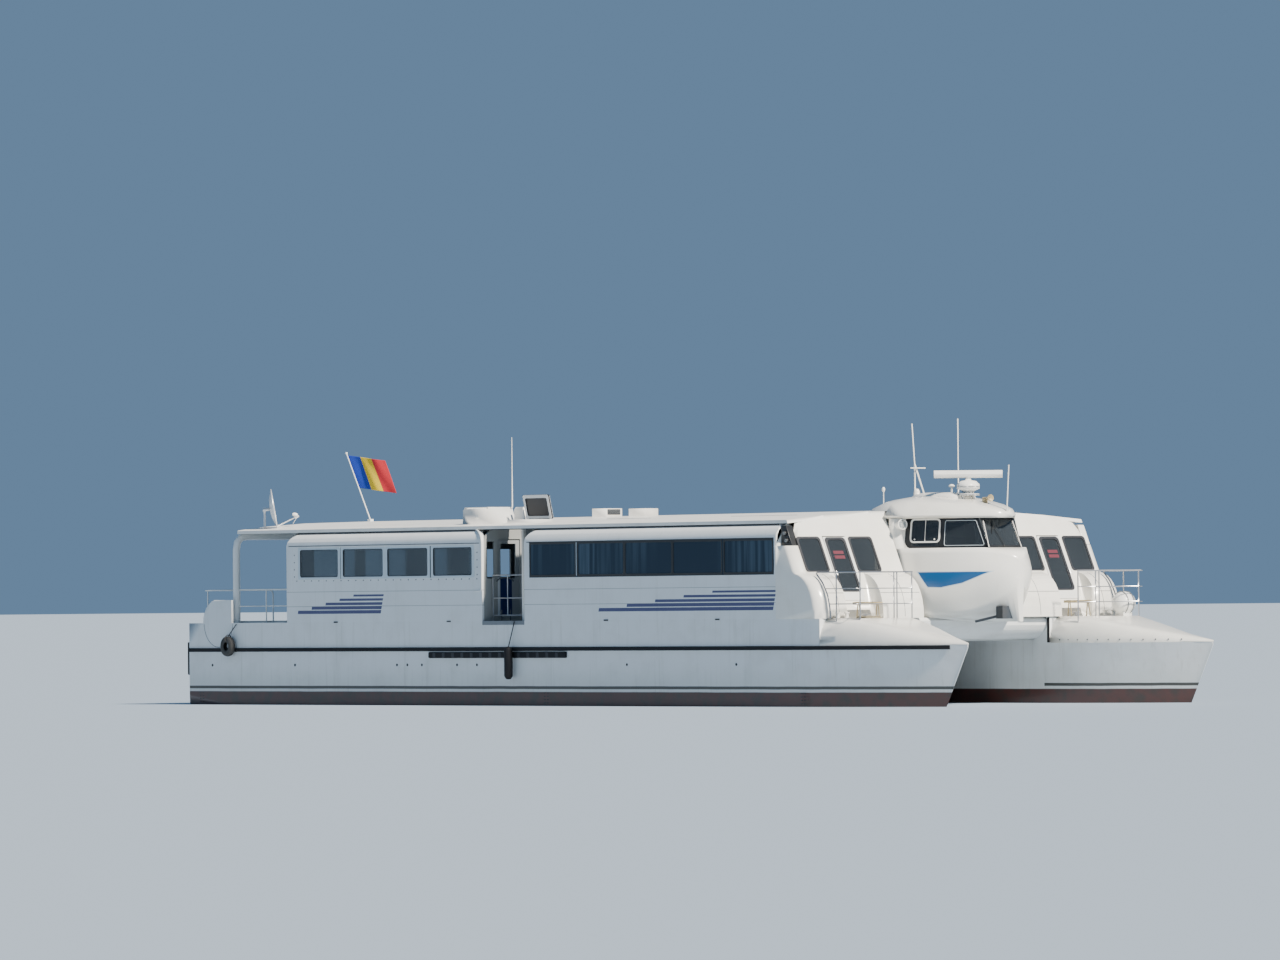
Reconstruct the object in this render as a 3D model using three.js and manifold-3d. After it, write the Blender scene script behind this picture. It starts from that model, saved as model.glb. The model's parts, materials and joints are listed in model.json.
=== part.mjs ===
// Catamaran passenger ferry: two hulls, two saloons and a wheelhouse pod between the bows.
// Millimetres. +X is the bow, +Y is port, +Z is up, and Z = 0 is the waterline on the centreline.
import * as THREE from 'three';
import { mergeVertices } from 'three/addons/utils/BufferGeometryUtils.js';
import Module from 'manifold-3d';

const wasm = await Module();
wasm.setup();

const GAP = 0.3;
const TRIM = 2 * GAP;
const FAR = 20000;

// Hulls
const TRANSOM_X = -14700;
const STEM_HEAD_X = 15000;
const STEM_WATERLINE_X = 14180;
const STEM_Y = 3760;
const STEM_HALF_WIDTH = 8;
const HALF_BEAM = 4720;
const TUNNEL_SIDE_Y = 2400;
const KNUCKLE_Z = 1430;
const DECK_Z = 2060;
const DRAFT = 1200;
const STERN_RUN_RISE = 1000;
const RUN_START_X = -5000;
const FOREFOOT_RAKE = 2200;
const BILGE_HEIGHT = 750;
const STERN_BILGE_HEIGHT = 260;
const ENTRY_OUTBOARD = 5600;
const ENTRY_INBOARD = 4000;
const ENTRY_POWER = 1.8;

// Foredeck
const NOSE_AFT_X = 10640;
const NOSE_SEAT_Z = KNUCKLE_Z + 2;
const DECK_BREAK_X = 11700;
const SHOULDER_WIDTH = 260;
const SHOULDER_POWER = 1.6;
const SHOULDER_STEPS = 4;

// Bridge deck between the hulls
const TUNNEL_TOP_Z = 1490;
const BRIDGE_AFT_X = -14300;
const BRIDGE_FRONT_X = 10550;
const CHIN_LENGTH = 700;
const LEDGE_Z = 1990;

// Engine wells, seen under lids on the aft deck
const ENGINE_X = -12100;
const ENGINE_SIZE = [1900, 950, 1050];
const WELL_FLOOR_Z = 480;
const WELL_CLEARANCE = 50;
const LID_THICKNESS = 50;
const LID_LAP = 35;

// Stern gear
const PROPELLER_X = -13150;
const PROPELLER_Z = -950;
const PROPELLER_RADIUS = 360;
const RUDDER_X = -14150;
const RUDDER_Z = -900;
const RUDDER_SIZE = [520, 60, 560];
const STOCK_RADIUS = 30;

// Saloons
const WALL = 60;
const CORNICE_Z = 3970;
const ROOF_SEAT_Z = 4300;
const CORNICE_RADIUS = ROOF_SEAT_Z - CORNICE_Z;
const AFT_SALOON = [-10460, -2330];
const FORWARD_SALOON = [-630, 9100];
const AFT_WINDOWS = [[-9870, -8260], [-8060, -6380], [-6200, -4530], [-4310, -2720]];
const FORWARD_WINDOWS = [[-390, 1420], [1500, 3320], [3360, 5180], [5220, 7090], [7170, 9010]];
const AFT_WINDOW_Z = [3175, 3880];
const FORWARD_WINDOW_Z = [3140, 3940];
const GLASS = 12;
const DOOR_LEAF = 40;
const DOOR_CLEARANCE = 8;
const HINGE_RADIUS = 10;
const HINGE_STRAP = 6;

// Front wall: its raked plane, the cowls in front of it and what is cut in it
const RAKE = -0.5;
const FRONT_SILL_X = 9930;
const FRONT_SILL_Z = 3170;
const COWL_TOP_Z = 3120;
const COWL_KNEE_X = 9880;
const COWL_BASE_X = 10690;
const COWL_POWER = 2.2;
const CORNER_DEPTH = 230;
const CORNER_WIDTH = 330;
const POD_SIDE_Y = 1520;
const NICHE_Y = [2750, 3860];
const DOOR_Y = [2955, 3645];
const DOOR_Z = [2480, 4000];
const DOOR_GLASS_Z = [2700, 3920];
const DOOR_HEAD_CLEARANCE = 20;
const OUTER_WINDOW_Y = [3770, 4410];
const INNER_WINDOW_Y = [2200, 2850];
const FRONT_WINDOW_Z = [3170, 3950];
const LAMP_NICHE = { x: 9170, z: 3776, y: 4400 };

// Roof
const ROOF_AFT_X = -12800;
const ROOF_BOW = 650;
const ROOF_FRONT_X = 9365;
const ROOF_HALF_WIDTH = 4550;
const ROOF_EDGE_Z = 4385;
const ROOF_CROWN_Z = 4625;
const ROOF_THICKNESS = 80;

// Wheelhouse pod
const POD_FLOOR_Z = 2600;
const SILL_Z = 3700;
const BROW_Z = 4400;
const BELLY_Z = 3200;
const KEEL_Z = 1950;
const KEEL_HALF_WIDTH = 50;
const PANE_SIDE = [[9650, 1320], [11870, 500]];
const PANE_LEAN = 300;

const materials = {
  white: new THREE.MeshStandardMaterial({ color: 0xf2f4f3, roughness: 0.35, metalness: 0.0 }),
  gelcoat: new THREE.MeshStandardMaterial({ color: 0xfaf8f0, roughness: 0.25, metalness: 0.0 }),
  rubber: new THREE.MeshStandardMaterial({ color: 0x15161a, roughness: 0.8, metalness: 0.0 }),
  glass: new THREE.MeshStandardMaterial({ color: 0x1c242c, roughness: 0.05, metalness: 0.0 }),
  steel: new THREE.MeshStandardMaterial({ color: 0xb9bcbe, roughness: 0.3, metalness: 0.9 }),
  aluminium: new THREE.MeshStandardMaterial({ color: 0xd9dbdc, roughness: 0.4, metalness: 0.7 }),
  iron: new THREE.MeshStandardMaterial({ color: 0x3a3f45, roughness: 0.6, metalness: 0.4 }),
  bronze: new THREE.MeshStandardMaterial({ color: 0xb08d4c, roughness: 0.35, metalness: 0.9 }),
  engine: new THREE.MeshStandardMaterial({ color: 0x7d8a84, roughness: 0.6, metalness: 0.3 }),
  navy: new THREE.MeshStandardMaterial({ color: 0x1f2f66, roughness: 0.4, metalness: 0.0 }),
  beige: new THREE.MeshStandardMaterial({ color: 0xd8c9a4, roughness: 0.55, metalness: 0.0 }),
  tyre: new THREE.MeshStandardMaterial({ color: 0x222222, roughness: 0.9, metalness: 0.0 }),
  seat: new THREE.MeshStandardMaterial({ color: 0x3d5a8c, roughness: 0.9, metalness: 0.0 }),
  flag: new THREE.MeshStandardMaterial({ color: 0xf2c81e, roughness: 0.9, metalness: 0.0 }),
  rope: new THREE.MeshStandardMaterial({ color: 0xb8b2a2, roughness: 0.95, metalness: 0.0 }),
};

const SIDES = [['starboard', -1], ['port', 1]];
const ferry = new THREE.Group();

// Solids, from closed geometry. A skin that comes out inside out is turned over.
function toSolid(geometry) {
  const bare = geometry.index ? geometry.toNonIndexed() : geometry.clone();
  for (const name of Object.keys(bare.attributes)) {
    if (name !== 'position') bare.deleteAttribute(name);
  }
  const merged = mergeVertices(bare, 1e-3);
  const vertProperties = new Float32Array(merged.attributes.position.array);
  const triVerts = new Uint32Array(merged.index.array);
  if (signedVolume(vertProperties, triVerts) < 0) {
    for (let i = 0; i < triVerts.length; i += 3) {
      [triVerts[i + 1], triVerts[i + 2]] = [triVerts[i + 2], triVerts[i + 1]];
    }
  }
  return new wasm.Manifold(new wasm.Mesh({ numProp: 3, vertProperties, triVerts }));
}

function signedVolume(positions, triangles) {
  const [a, b, c] = [new THREE.Vector3(), new THREE.Vector3(), new THREE.Vector3()];
  let volume = 0;
  for (let i = 0; i < triangles.length; i += 3) {
    [a, b, c].forEach((corner, k) => corner.fromArray(positions, 3 * triangles[i + k]));
    volume += a.dot(b.cross(c));
  }
  return volume;
}

function toGeometry(solid) {
  const mesh = solid.getMesh();
  const geometry = new THREE.BufferGeometry();
  geometry.setAttribute('position', new THREE.BufferAttribute(new Float32Array(mesh.vertProperties), 3));
  geometry.setIndex(new THREE.BufferAttribute(new Uint32Array(mesh.triVerts), 1));
  geometry.computeVertexNormals();
  return geometry;
}

function join(...solids) {
  return solids.flat().reduce((all, next) => all.add(next));
}

function cut(solid, ...tools) {
  return tools.flat().reduce((left, tool) => left.subtract(tool), solid);
}

// A box from its three ranges
function box([x0, x1], [y0, y1], [z0, z1]) {
  const geometry = new THREE.BoxGeometry(x1 - x0, Math.abs(y1 - y0), z1 - z0);
  geometry.translate((x0 + x1) / 2, (y0 + y1) / 2, (z0 + z1) / 2);
  return toSolid(geometry);
}

const PRISM_AXES = {
  x: [new THREE.Vector3(0, 1, 0), new THREE.Vector3(0, 0, 1), new THREE.Vector3(1, 0, 0)],
  y: [new THREE.Vector3(0, 0, 1), new THREE.Vector3(1, 0, 0), new THREE.Vector3(0, 1, 0)],
  z: [new THREE.Vector3(1, 0, 0), new THREE.Vector3(0, 1, 0), new THREE.Vector3(0, 0, 1)],
};

// An outline pushed along an axis: (y, z) pairs along x, (z, x) pairs along y, (x, y) pairs along z
function prism(axis, outline, [a, b]) {
  const shape = new THREE.Shape(outline.map(([u, v]) => new THREE.Vector2(u, v)));
  const geometry = new THREE.ExtrudeGeometry(shape, { depth: Math.abs(b - a), bevelEnabled: false });
  geometry.translate(0, 0, Math.min(a, b));
  geometry.applyMatrix4(new THREE.Matrix4().makeBasis(...PRISM_AXES[axis]));
  return toSolid(geometry);
}

// The same along y, from (x, z) pairs as a side view shows them
function sideView(outline, range) {
  return prism('y', outline.map(([x, z]) => [z, x]), range);
}

// Triangles over a flat ring, all turning the way that the ring turns
function capFaces(ring) {
  const normal = new THREE.Vector3();
  ring.forEach((point, i) => {
    const next = ring[(i + 1) % ring.length];
    normal.add(new THREE.Vector3(...point).cross(new THREE.Vector3(...next)));
  });
  const sizes = normal.toArray().map(Math.abs);
  const drop = sizes.indexOf(Math.max(...sizes));
  const flat = ring.map((point) => new THREE.Vector2(...point.filter((_, axis) => axis !== drop)));
  const sense = Math.sign(THREE.ShapeUtils.area(flat));
  return THREE.ShapeUtils.triangulateShape(flat, []).map(([a, b, c]) => {
    const keep = Math.sign(THREE.ShapeUtils.area([flat[a], flat[b], flat[c]])) === sense;
    return (keep ? [a, b, c] : [c, b, a]).map((k) => ring[k]);
  });
}

// A skin over rings of equal length, closed at both ends
function loft(rings) {
  const triangles = [];
  const count = rings[0].length;
  for (let r = 0; r + 1 < rings.length; r += 1) {
    for (let i = 0; i < count; i += 1) {
      const j = (i + 1) % count;
      const [a, b, c, d] = [rings[r][i], rings[r][j], rings[r + 1][j], rings[r + 1][i]];
      triangles.push([a, b, c], [a, c, d]);
    }
  }
  triangles.push(...capFaces(rings[0]).map(([a, b, c]) => [c, b, a]));
  triangles.push(...capFaces(rings[rings.length - 1]));
  const geometry = new THREE.BufferGeometry();
  geometry.setAttribute('position', new THREE.BufferAttribute(new Float32Array(triangles.flat(2)), 3));
  return toSolid(geometry);
}

// A round bar between two points
function bar(from, to, radius, sides = 8) {
  const a = new THREE.Vector3(...from);
  const b = new THREE.Vector3(...to);
  const geometry = new THREE.CylinderGeometry(radius, radius, a.distanceTo(b), sides);
  const turn = new THREE.Quaternion().setFromUnitVectors(
    new THREE.Vector3(0, 1, 0), b.clone().sub(a).normalize());
  geometry.applyQuaternion(turn);
  geometry.translate(...a.add(b).multiplyScalar(0.5).toArray());
  return toSolid(geometry);
}

// Points along straight runs, with each corner rounded by a short curve
const BEND_STEPS = 3;

function bentPath(points, bend) {
  const corners = points.map((point) => new THREE.Vector3(...point));
  const path = [corners[0]];
  for (let i = 1; i + 1 < corners.length; i += 1) {
    const back = corners[i - 1].clone().sub(corners[i]).setLength(bend).add(corners[i]);
    const ahead = corners[i + 1].clone().sub(corners[i]).setLength(bend).add(corners[i]);
    path.push(...new THREE.QuadraticBezierCurve3(back, corners[i], ahead).getPoints(BEND_STEPS));
  }
  path.push(corners[corners.length - 1]);
  return path;
}

// A bent pipe: a round section carried along the path without twist
function pipe(points, radius, bend, sides = 8) {
  const path = bentPath(points, bend);
  const ways = path.slice(1).map((point, i) => point.clone().sub(path[i]).normalize());
  let way = ways[0];
  const across = Math.abs(way.z) > 0.9 ? new THREE.Vector3(1, 0, 0) : new THREE.Vector3(0, 0, 1);
  const normal = across.cross(way).normalize();
  const rings = path.map((point, i) => {
    const here = ways[Math.max(0, i - 1)].clone().add(ways[Math.min(ways.length - 1, i)]).normalize();
    normal.applyQuaternion(new THREE.Quaternion().setFromUnitVectors(way, here));
    way = here;
    const other = here.clone().cross(normal);
    return Array.from({ length: sides }, (_, k) => {
      const angle = (2 * Math.PI * k) / sides;
      return point.clone().addScaledVector(normal, radius * Math.cos(angle))
        .addScaledVector(other, radius * Math.sin(angle)).toArray();
    });
  });
  return loft(rings);
}

// A turned body: (radius, height) pairs about an axis through a centre
function turned(profile, centre, axis, sides = 16) {
  const points = profile.map(([radius, height]) => new THREE.Vector2(radius, height));
  const geometry = new THREE.LatheGeometry(points, sides);
  const turn = new THREE.Quaternion().setFromUnitVectors(
    new THREE.Vector3(0, 1, 0), new THREE.Vector3(...axis).normalize());
  geometry.applyQuaternion(turn);
  geometry.translate(...centre);
  return toSolid(geometry);
}

function add(name, solid, material) {
  const mesh = new THREE.Mesh(toGeometry(solid), material);
  mesh.name = name;
  ferry.add(mesh);
  return mesh;
}

function arc(centre, radius, fromDegrees, toDegrees, steps) {
  const points = [];
  for (let i = 0; i <= steps; i += 1) {
    const angle = THREE.MathUtils.degToRad(fromDegrees + ((toDegrees - fromDegrees) * i) / steps);
    points.push([centre[0] + radius[0] * Math.cos(angle), centre[1] + radius[1] * Math.sin(angle)]);
  }
  return points;
}

// Hull surface: how far the skin stands off the stem plane at a place along the length and a height
function stemX(z) {
  if (z >= 0) return STEM_WATERLINE_X + ((STEM_HEAD_X - STEM_WATERLINE_X) * z) / KNUCKLE_Z;
  return STEM_WATERLINE_X - FOREFOOT_RAKE * (z / DRAFT) ** 2;
}

function keelZ(x) {
  if (x < RUN_START_X) {
    return -DRAFT + STERN_RUN_RISE * ((RUN_START_X - x) / (RUN_START_X - TRANSOM_X)) ** 2;
  }
  if (x > STEM_WATERLINE_X) {
    return ((x - STEM_WATERLINE_X) / (STEM_HEAD_X - STEM_WATERLINE_X)) * KNUCKLE_Z;
  }
  const rise = Math.max(0, STEM_WATERLINE_X - x) / FOREFOOT_RAKE;
  return -DRAFT * Math.min(1, Math.sqrt(rise));
}

function entry(x, z, length) {
  const along = THREE.MathUtils.clamp((stemX(z) - x) / length, 0, 1);
  return 1 - (1 - along) ** ENTRY_POWER;
}

function bilge(x, z) {
  const run = THREE.MathUtils.clamp((RUN_START_X - x) / (RUN_START_X - TRANSOM_X), 0, 1);
  const height = THREE.MathUtils.lerp(BILGE_HEIGHT, STERN_BILGE_HEIGHT, run);
  const up = THREE.MathUtils.clamp((z - keelZ(x)) / height, 0, 1);
  return Math.sqrt(1 - (1 - up) ** 2);
}

function outboardY(x, z) {
  const reach = HALF_BEAM - STEM_Y - STEM_HALF_WIDTH;
  return STEM_Y + STEM_HALF_WIDTH + reach * entry(x, z, ENTRY_OUTBOARD) * bilge(x, z);
}

function inboardY(x, z) {
  const reach = STEM_Y - TUNNEL_SIDE_Y - STEM_HALF_WIDTH;
  return STEM_Y - STEM_HALF_WIDTH - reach * entry(x, z, ENTRY_INBOARD) * bilge(x, z);
}

const HULL_LEVELS = [0.015, 0.06, 0.14, 0.28, 0.46, 0.72, 1];
const HULL_STATIONS = [
  TRANSOM_X, -12000, -9000, RUN_START_X, 9000, 10200, 11200, 12000,
  12700, 13300, 13800, 14180, 14500, 14750, 14960,
];

function hullRing(x, side) {
  const bottom = keelZ(x);
  const heights = HULL_LEVELS.map((level) => bottom + (KNUCKLE_Z - bottom) * level);
  const outer = heights.map((z) => [x, side * outboardY(x, z), z]);
  const inner = heights.map((z) => [x, side * inboardY(x, z), z]);
  outer.push([x, side * outboardY(x, KNUCKLE_Z), DECK_Z]);
  inner.push([x, side * inboardY(x, KNUCKLE_Z), DECK_Z]);
  return [[x, side * STEM_Y, bottom], ...outer, ...inner.reverse()];
}

function sternCoaming(side) {
  const disc = arc([-13480, DECK_Z + 10], [610, 580], 100, 180, 6);
  const outline = [[-12850, DECK_Z - TRIM], [-12850, 2640], ...disc, [-14090, DECK_Z - TRIM]];
  return sideView(outline, [side * (HALF_BEAM - WALL), side * HALF_BEAM]);
}

function makeHull(name, side) {
  const body = loft(HULL_STATIONS.map((x) => hullRing(x, side)));
  const noseSpace = box([NOSE_AFT_X, FAR], [side * STEM_Y - FAR, side * STEM_Y + FAR], [NOSE_SEAT_Z, FAR]);
  const [length, width] = ENGINE_SIZE;
  const halfLength = length / 2 + WELL_CLEARANCE;
  const halfWidth = width / 2 + WELL_CLEARANCE;
  const well = box(
    [ENGINE_X - halfLength, ENGINE_X + halfLength],
    [side * (STEM_Y - halfWidth), side * (STEM_Y + halfWidth)], [WELL_FLOOR_Z, FAR]);
  add(`hull_${name}`, cut(join(body, sternCoaming(side)), well, noseSpace), materials.white);
}

function makeEngine(name, side) {
  const [length, width, height] = ENGINE_SIZE;
  const base = WELL_FLOOR_Z + GAP;
  const block = box(
    [ENGINE_X - length / 2, ENGINE_X + length / 2],
    [side * (STEM_Y - width / 2), side * (STEM_Y + width / 2)], [base, base + height]);
  add(`engine_${name}`, block, materials.engine);
}

// Raised lid over the well, hinged on its lower outboard edge
function makeEngineLid(name, side) {
  const halfLength = ENGINE_SIZE[0] / 2 + WELL_CLEARANCE + LID_LAP;
  const halfWidth = ENGINE_SIZE[1] / 2 + WELL_CLEARANCE + LID_LAP;
  const lid = box(
    [ENGINE_X - halfLength, ENGINE_X + halfLength],
    [side * (STEM_Y - halfWidth), side * (STEM_Y + halfWidth)], [DECK_Z + GAP, DECK_Z + LID_THICKNESS]);
  add(`engine_lid_${name}`, lid, materials.white);
}

// The black strake follows the knuckle and stops in a rounded end short of the stem
const STRAKE_X = HULL_STATIONS.filter((x) => x <= 14500);
const STRAKE_Z = [1330, 1428];
const STRAKE_DEPTH = 50;

function makeStrake(name, side) {
  const rings = STRAKE_X.map((x) => {
    const top = outboardY(x, KNUCKLE_Z) + GAP;
    const ends = x === STRAKE_X[STRAKE_X.length - 1] ? STRAKE_DEPTH / 3 : STRAKE_DEPTH;
    return [
      [x, side * top, STRAKE_Z[0]], [x, side * (top + ends), STRAKE_Z[0] + 15],
      [x, side * (top + ends), STRAKE_Z[1] - 15], [x, side * top, STRAKE_Z[1]],
    ];
  });
  add(`rubbing_strake_${name}`, loft(rings), materials.rubber);
}

// Foredeck moulding: flat to the break, then straight down to the stem head, with round shoulders
const NOSE_STATIONS = [NOSE_AFT_X, 11200, DECK_BREAK_X, 12400, 13100, 13700, 14200, 14600, 14970];
const STEM_HEAD_Z = 1470;
const BOLLARD_X = 10830;
const BOLLARD_Y = [3980, 4250];

function noseTop(x) {
  const past = Math.max(0, x - DECK_BREAK_X) / (STEM_HEAD_X - DECK_BREAK_X);
  return DECK_Z - (DECK_Z - STEM_HEAD_Z) * past;
}

function noseRing(x, side) {
  const top = noseTop(x);
  const base = NOSE_SEAT_Z + GAP;
  const outer = outboardY(x, KNUCKLE_Z);
  const inner = inboardY(x, KNUCKLE_Z);
  const width = Math.min(SHOULDER_WIDTH, (outer - inner) / 3);
  const low = base + (top - base) * 0.15;
  const curve = Array.from({ length: SHOULDER_STEPS + 1 }, (_, i) => {
    const up = i / SHOULDER_STEPS;
    return [width * (1 - (1 - up ** SHOULDER_POWER) ** (1 / SHOULDER_POWER)), low + (top - low) * up];
  });
  const outboard = [[outer, base], ...curve.map(([inset, z]) => [outer - inset, z])];
  const inboard = [[inner, base], ...curve.map(([inset, z]) => [inner + inset, z])].reverse();
  return [...outboard, ...inboard].map(([y, z]) => [x, side * y, z]);
}

function noseBody(side, rise) {
  return loft(NOSE_STATIONS.map((x) => noseRing(x, side).map(([px, y, z]) => [px, y, z + rise])));
}

function makeNose(name, side) {
  const moulding = noseBody(side, 0);
  const posts = BOLLARD_Y.map((y) => turned(
    [[0, -20], [55, -20], [45, 20], [45, 110], [65, 120], [65, 145], [0, 145]],
    [BOLLARD_X, side * y, DECK_Z], [0, 0, 1], 10));
  const plate = box([BOLLARD_X - 75, BOLLARD_X + 75],
    [side * (BOLLARD_Y[0] - 85), side * (BOLLARD_Y[1] + 85)], [DECK_Z - 5, DECK_Z + 12]);
  add(`foredeck_${name}`, join(moulding, plate, posts), materials.gelcoat);
}

// Bridge deck with its ledge and rounded chin
function makeBridgeDeck() {
  const chin = arc([BRIDGE_FRONT_X - CHIN_LENGTH, LEDGE_Z], [CHIN_LENGTH, LEDGE_Z - TUNNEL_TOP_Z], 0, -90, 6);
  const outline = [
    [BRIDGE_AFT_X, TUNNEL_TOP_Z], [BRIDGE_AFT_X, DECK_Z], [BRIDGE_FRONT_X - 60, DECK_Z], ...chin,
  ];
  const half = TUNNEL_SIDE_Y - GAP;
  add('bridge_deck', sideView(outline, [-half, half]), materials.white);
}

// Side walls with a rounded cornice, windows cut through and a rebate for the glass
function wallSection(side) {
  const outer = HALF_BEAM;
  const eave = outer - CORNICE_RADIUS;
  const outside = arc([eave, CORNICE_Z], [CORNICE_RADIUS, CORNICE_RADIUS], 0, 90, 5);
  const inside = arc([eave, CORNICE_Z], [CORNICE_RADIUS - WALL, CORNICE_RADIUS - WALL], 90, 0, 5);
  return [[outer - WALL, DECK_Z + GAP], [outer, DECK_Z + GAP], ...outside, ...inside]
    .map(([y, z]) => [side * y, z]);
}

function windowCuts(windows, [z0, z1], side) {
  return windows.map(([x0, x1]) => box([x0, x1], [side * 4000, side * 5000], [z0, z1]));
}

function glassRange(windows, [z0, z1]) {
  const lap = 35;
  return { x: [windows[0][0] - lap, windows[windows.length - 1][1] + lap], z: [z0 - lap, z1 + lap] };
}

// The cornice ends are rounded down towards the openings
function corniceEnd(x, direction, side) {
  const reach = 560;
  const drop = 330;
  const curve = arc([x - direction * reach, ROOF_SEAT_Z - drop], [direction * reach, drop], 0, 90, 6);
  const [start, end] = [x - direction * reach, x + direction * 50];
  const outline = [...curve, [start, ROOF_SEAT_Z + 100], [end, ROOF_SEAT_Z + 100], [end, ROOF_SEAT_Z - drop]];
  return sideView(outline, [side * 4000, side * 5000]);
}

function makeSideWall(name, side, [x0, x1], windows, heights, roundEnds) {
  const wall = prism('x', wallSection(side), [x0, x1]);
  const range = glassRange(windows, heights);
  const rebate = box(range.x, [side * (HALF_BEAM - GLASS - GAP), side * FAR], range.z);
  const ends = roundEnds.map(([x, direction]) => corniceEnd(x, direction, side));
  add(name, cut(wall, windowCuts(windows, heights, side), rebate, ends), materials.white);
}

function makeSideGlass(name, side, windows, heights) {
  const range = glassRange(windows, heights);
  const sheet = box(
    [range.x[0] + GAP, range.x[1] - GAP], [side * (HALF_BEAM - GLASS), side * HALF_BEAM],
    [range.z[0] + GAP, range.z[1] - GAP]);
  add(name, sheet, materials.glass);
}

// Cross bulkheads under the camber of the roof
const ROOF_BREAKS = [ROOF_HALF_WIDTH, 3400, 2000, 0];

function camberZ(y) {
  const curve = (at) => ROOF_CROWN_Z - (ROOF_CROWN_Z - ROOF_EDGE_Z) * (at / ROOF_HALF_WIDTH) ** 2;
  const inner = ROOF_BREAKS.find((at) => at <= Math.abs(y));
  const outer = ROOF_BREAKS[Math.max(0, ROOF_BREAKS.indexOf(inner) - 1)];
  if (outer === inner) return curve(inner);
  return curve(inner) + ((curve(outer) - curve(inner)) * (Math.abs(y) - inner)) / (outer - inner);
}

function underRoof(y) {
  return camberZ(y) - ROOF_THICKNESS - GAP;
}

// All the space over a line that follows the roof's camber
function overRoofLine(heightAt) {
  const reach = HALF_BEAM + WALL;
  const breaks = [reach, ...ROOF_BREAKS, ...ROOF_BREAKS.slice(0, 3).reverse().map((y) => -y), -reach];
  const line = breaks.map((y) => [y, heightAt(y)]);
  return prism('x', [[-reach, FAR], [reach, FAR], ...line], [8000, 10000]);
}

function bulkheadOutline() {
  const inner = HALF_BEAM - WALL - GAP;
  const eave = HALF_BEAM - CORNICE_RADIUS - GAP;
  const curve = arc([eave, CORNICE_Z], [CORNICE_RADIUS - WALL, CORNICE_RADIUS - WALL], 0, 54, 3);
  const breaks = ROOF_BREAKS.slice(1, 3).map((y) => [y, underRoof(y)]);
  const right = [[inner, DECK_Z + GAP], ...curve, [4400, underRoof(4400) - 20], ...breaks];
  const left = right.map(([y, z]) => [-y, z]).reverse();
  return [...right, [0, underRoof(0)], ...left];
}

function bulkhead([x0, x1], openings) {
  const plate = prism('x', bulkheadOutline(), [x0, x1]);
  const cuts = openings.map(([y, z]) => box([x0 - WALL, x1 + WALL], y, z));
  return cut(plate, cuts);
}

const AFT_DOORWAY = { y: [-430, 430], z: [DECK_Z + 60, 4060] };
const LOBBY_DOORWAY = { y: [-4240, -3540], z: [DECK_Z + 60, 4060] };
const AISLE_DOORWAY = { y: [-500, 500], z: [DECK_Z + 60, 4060] };

function makeBulkheads() {
  const [aftX, lobbyX] = [AFT_SALOON[0] + GAP, AFT_SALOON[1] - WALL];
  const aftLights = [-1, 1].flatMap((side) => [
    [[side * 1000, side * 2300], [3175, 3880]], [[side * 2600, side * 3900], [3175, 3880]]]);
  const aft = bulkhead([aftX, aftX + WALL], [[AFT_DOORWAY.y, AFT_DOORWAY.z], ...aftLights]);
  add('aft_bulkhead', aft, materials.white);
  const lobbyLights = [[-4560, -4330], [-3440, -2400], [2400, 4400]].map((y) => [y, [3100, 4000]]);
  const lobby = bulkhead([lobbyX, lobbyX + WALL - GAP],
    [[LOBBY_DOORWAY.y, LOBBY_DOORWAY.z], [AISLE_DOORWAY.y, AISLE_DOORWAY.z], ...lobbyLights]);
  add('lobby_aft_bulkhead', lobby, materials.white);
  const forwardX = FORWARD_SALOON[0] + GAP;
  const forward = bulkhead([forwardX, forwardX + WALL], [[AISLE_DOORWAY.y, AISLE_DOORWAY.z]]);
  add('lobby_forward_bulkhead', forward, materials.white);
}

// Hinged doors: a leaf with its window cut, strapped to a hinge tube that lies on the wall beside the doorway
function makeDoor(name, wallX, doorway, hingeSide, glassZ, material) {
  const axisX = wallX - GAP - HINGE_RADIUS;
  const [y0, y1] = [doorway.y[0] + DOOR_CLEARANCE, doorway.y[1] - DOOR_CLEARANCE];
  const [z0, z1] = [doorway.z[0] + DOOR_CLEARANCE, doorway.z[1] - DOOR_CLEARANCE];
  const frame = 110;
  const leaf = box([axisX, axisX + DOOR_LEAF], [y0, y1], [z0, z1]);
  const light = box([axisX - WALL, axisX + 2 * WALL], [y0 + frame, y1 - frame], glassZ);
  const jamb = doorway.y[hingeSide > 0 ? 1 : 0];
  const axisY = jamb + hingeSide * HINGE_RADIUS;
  const hinge = bar([axisX, axisY, z0 + frame], [axisX, axisY, z1 - frame], HINGE_RADIUS);
  const strapY = [axisY, jamb - hingeSide * frame / 2].sort((a, b) => a - b);
  const strap = box([axisX - HINGE_STRAP, axisX + 1], strapY, [z0 + frame, z1 - frame]);
  add(name, join(cut(leaf, light), hinge, strap), material);
}

// Front walls
function rakeX(z) {
  return FRONT_SILL_X + RAKE * (z - FRONT_SILL_Z);
}

function cowlX(z) {
  const up = THREE.MathUtils.clamp((z - DECK_Z) / (COWL_TOP_Z - DECK_Z), 0, 1);
  return COWL_KNEE_X + (COWL_BASE_X - COWL_KNEE_X) * (1 - up ** COWL_POWER) ** (1 / COWL_POWER);
}

function frontX(z) {
  return Math.max(rakeX(z), z < COWL_TOP_Z ? cowlX(z) : 0);
}

const FRONT_TOP_Z = ROOF_CROWN_Z + 60;
const FRONT_LEVELS = [
  DECK_Z + GAP, 2300, 2520, 2700, 2840, 2950, 3030, 3085, 3112, FRONT_SILL_Z, 3776, ROOF_SEAT_Z, FRONT_TOP_Z];

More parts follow.
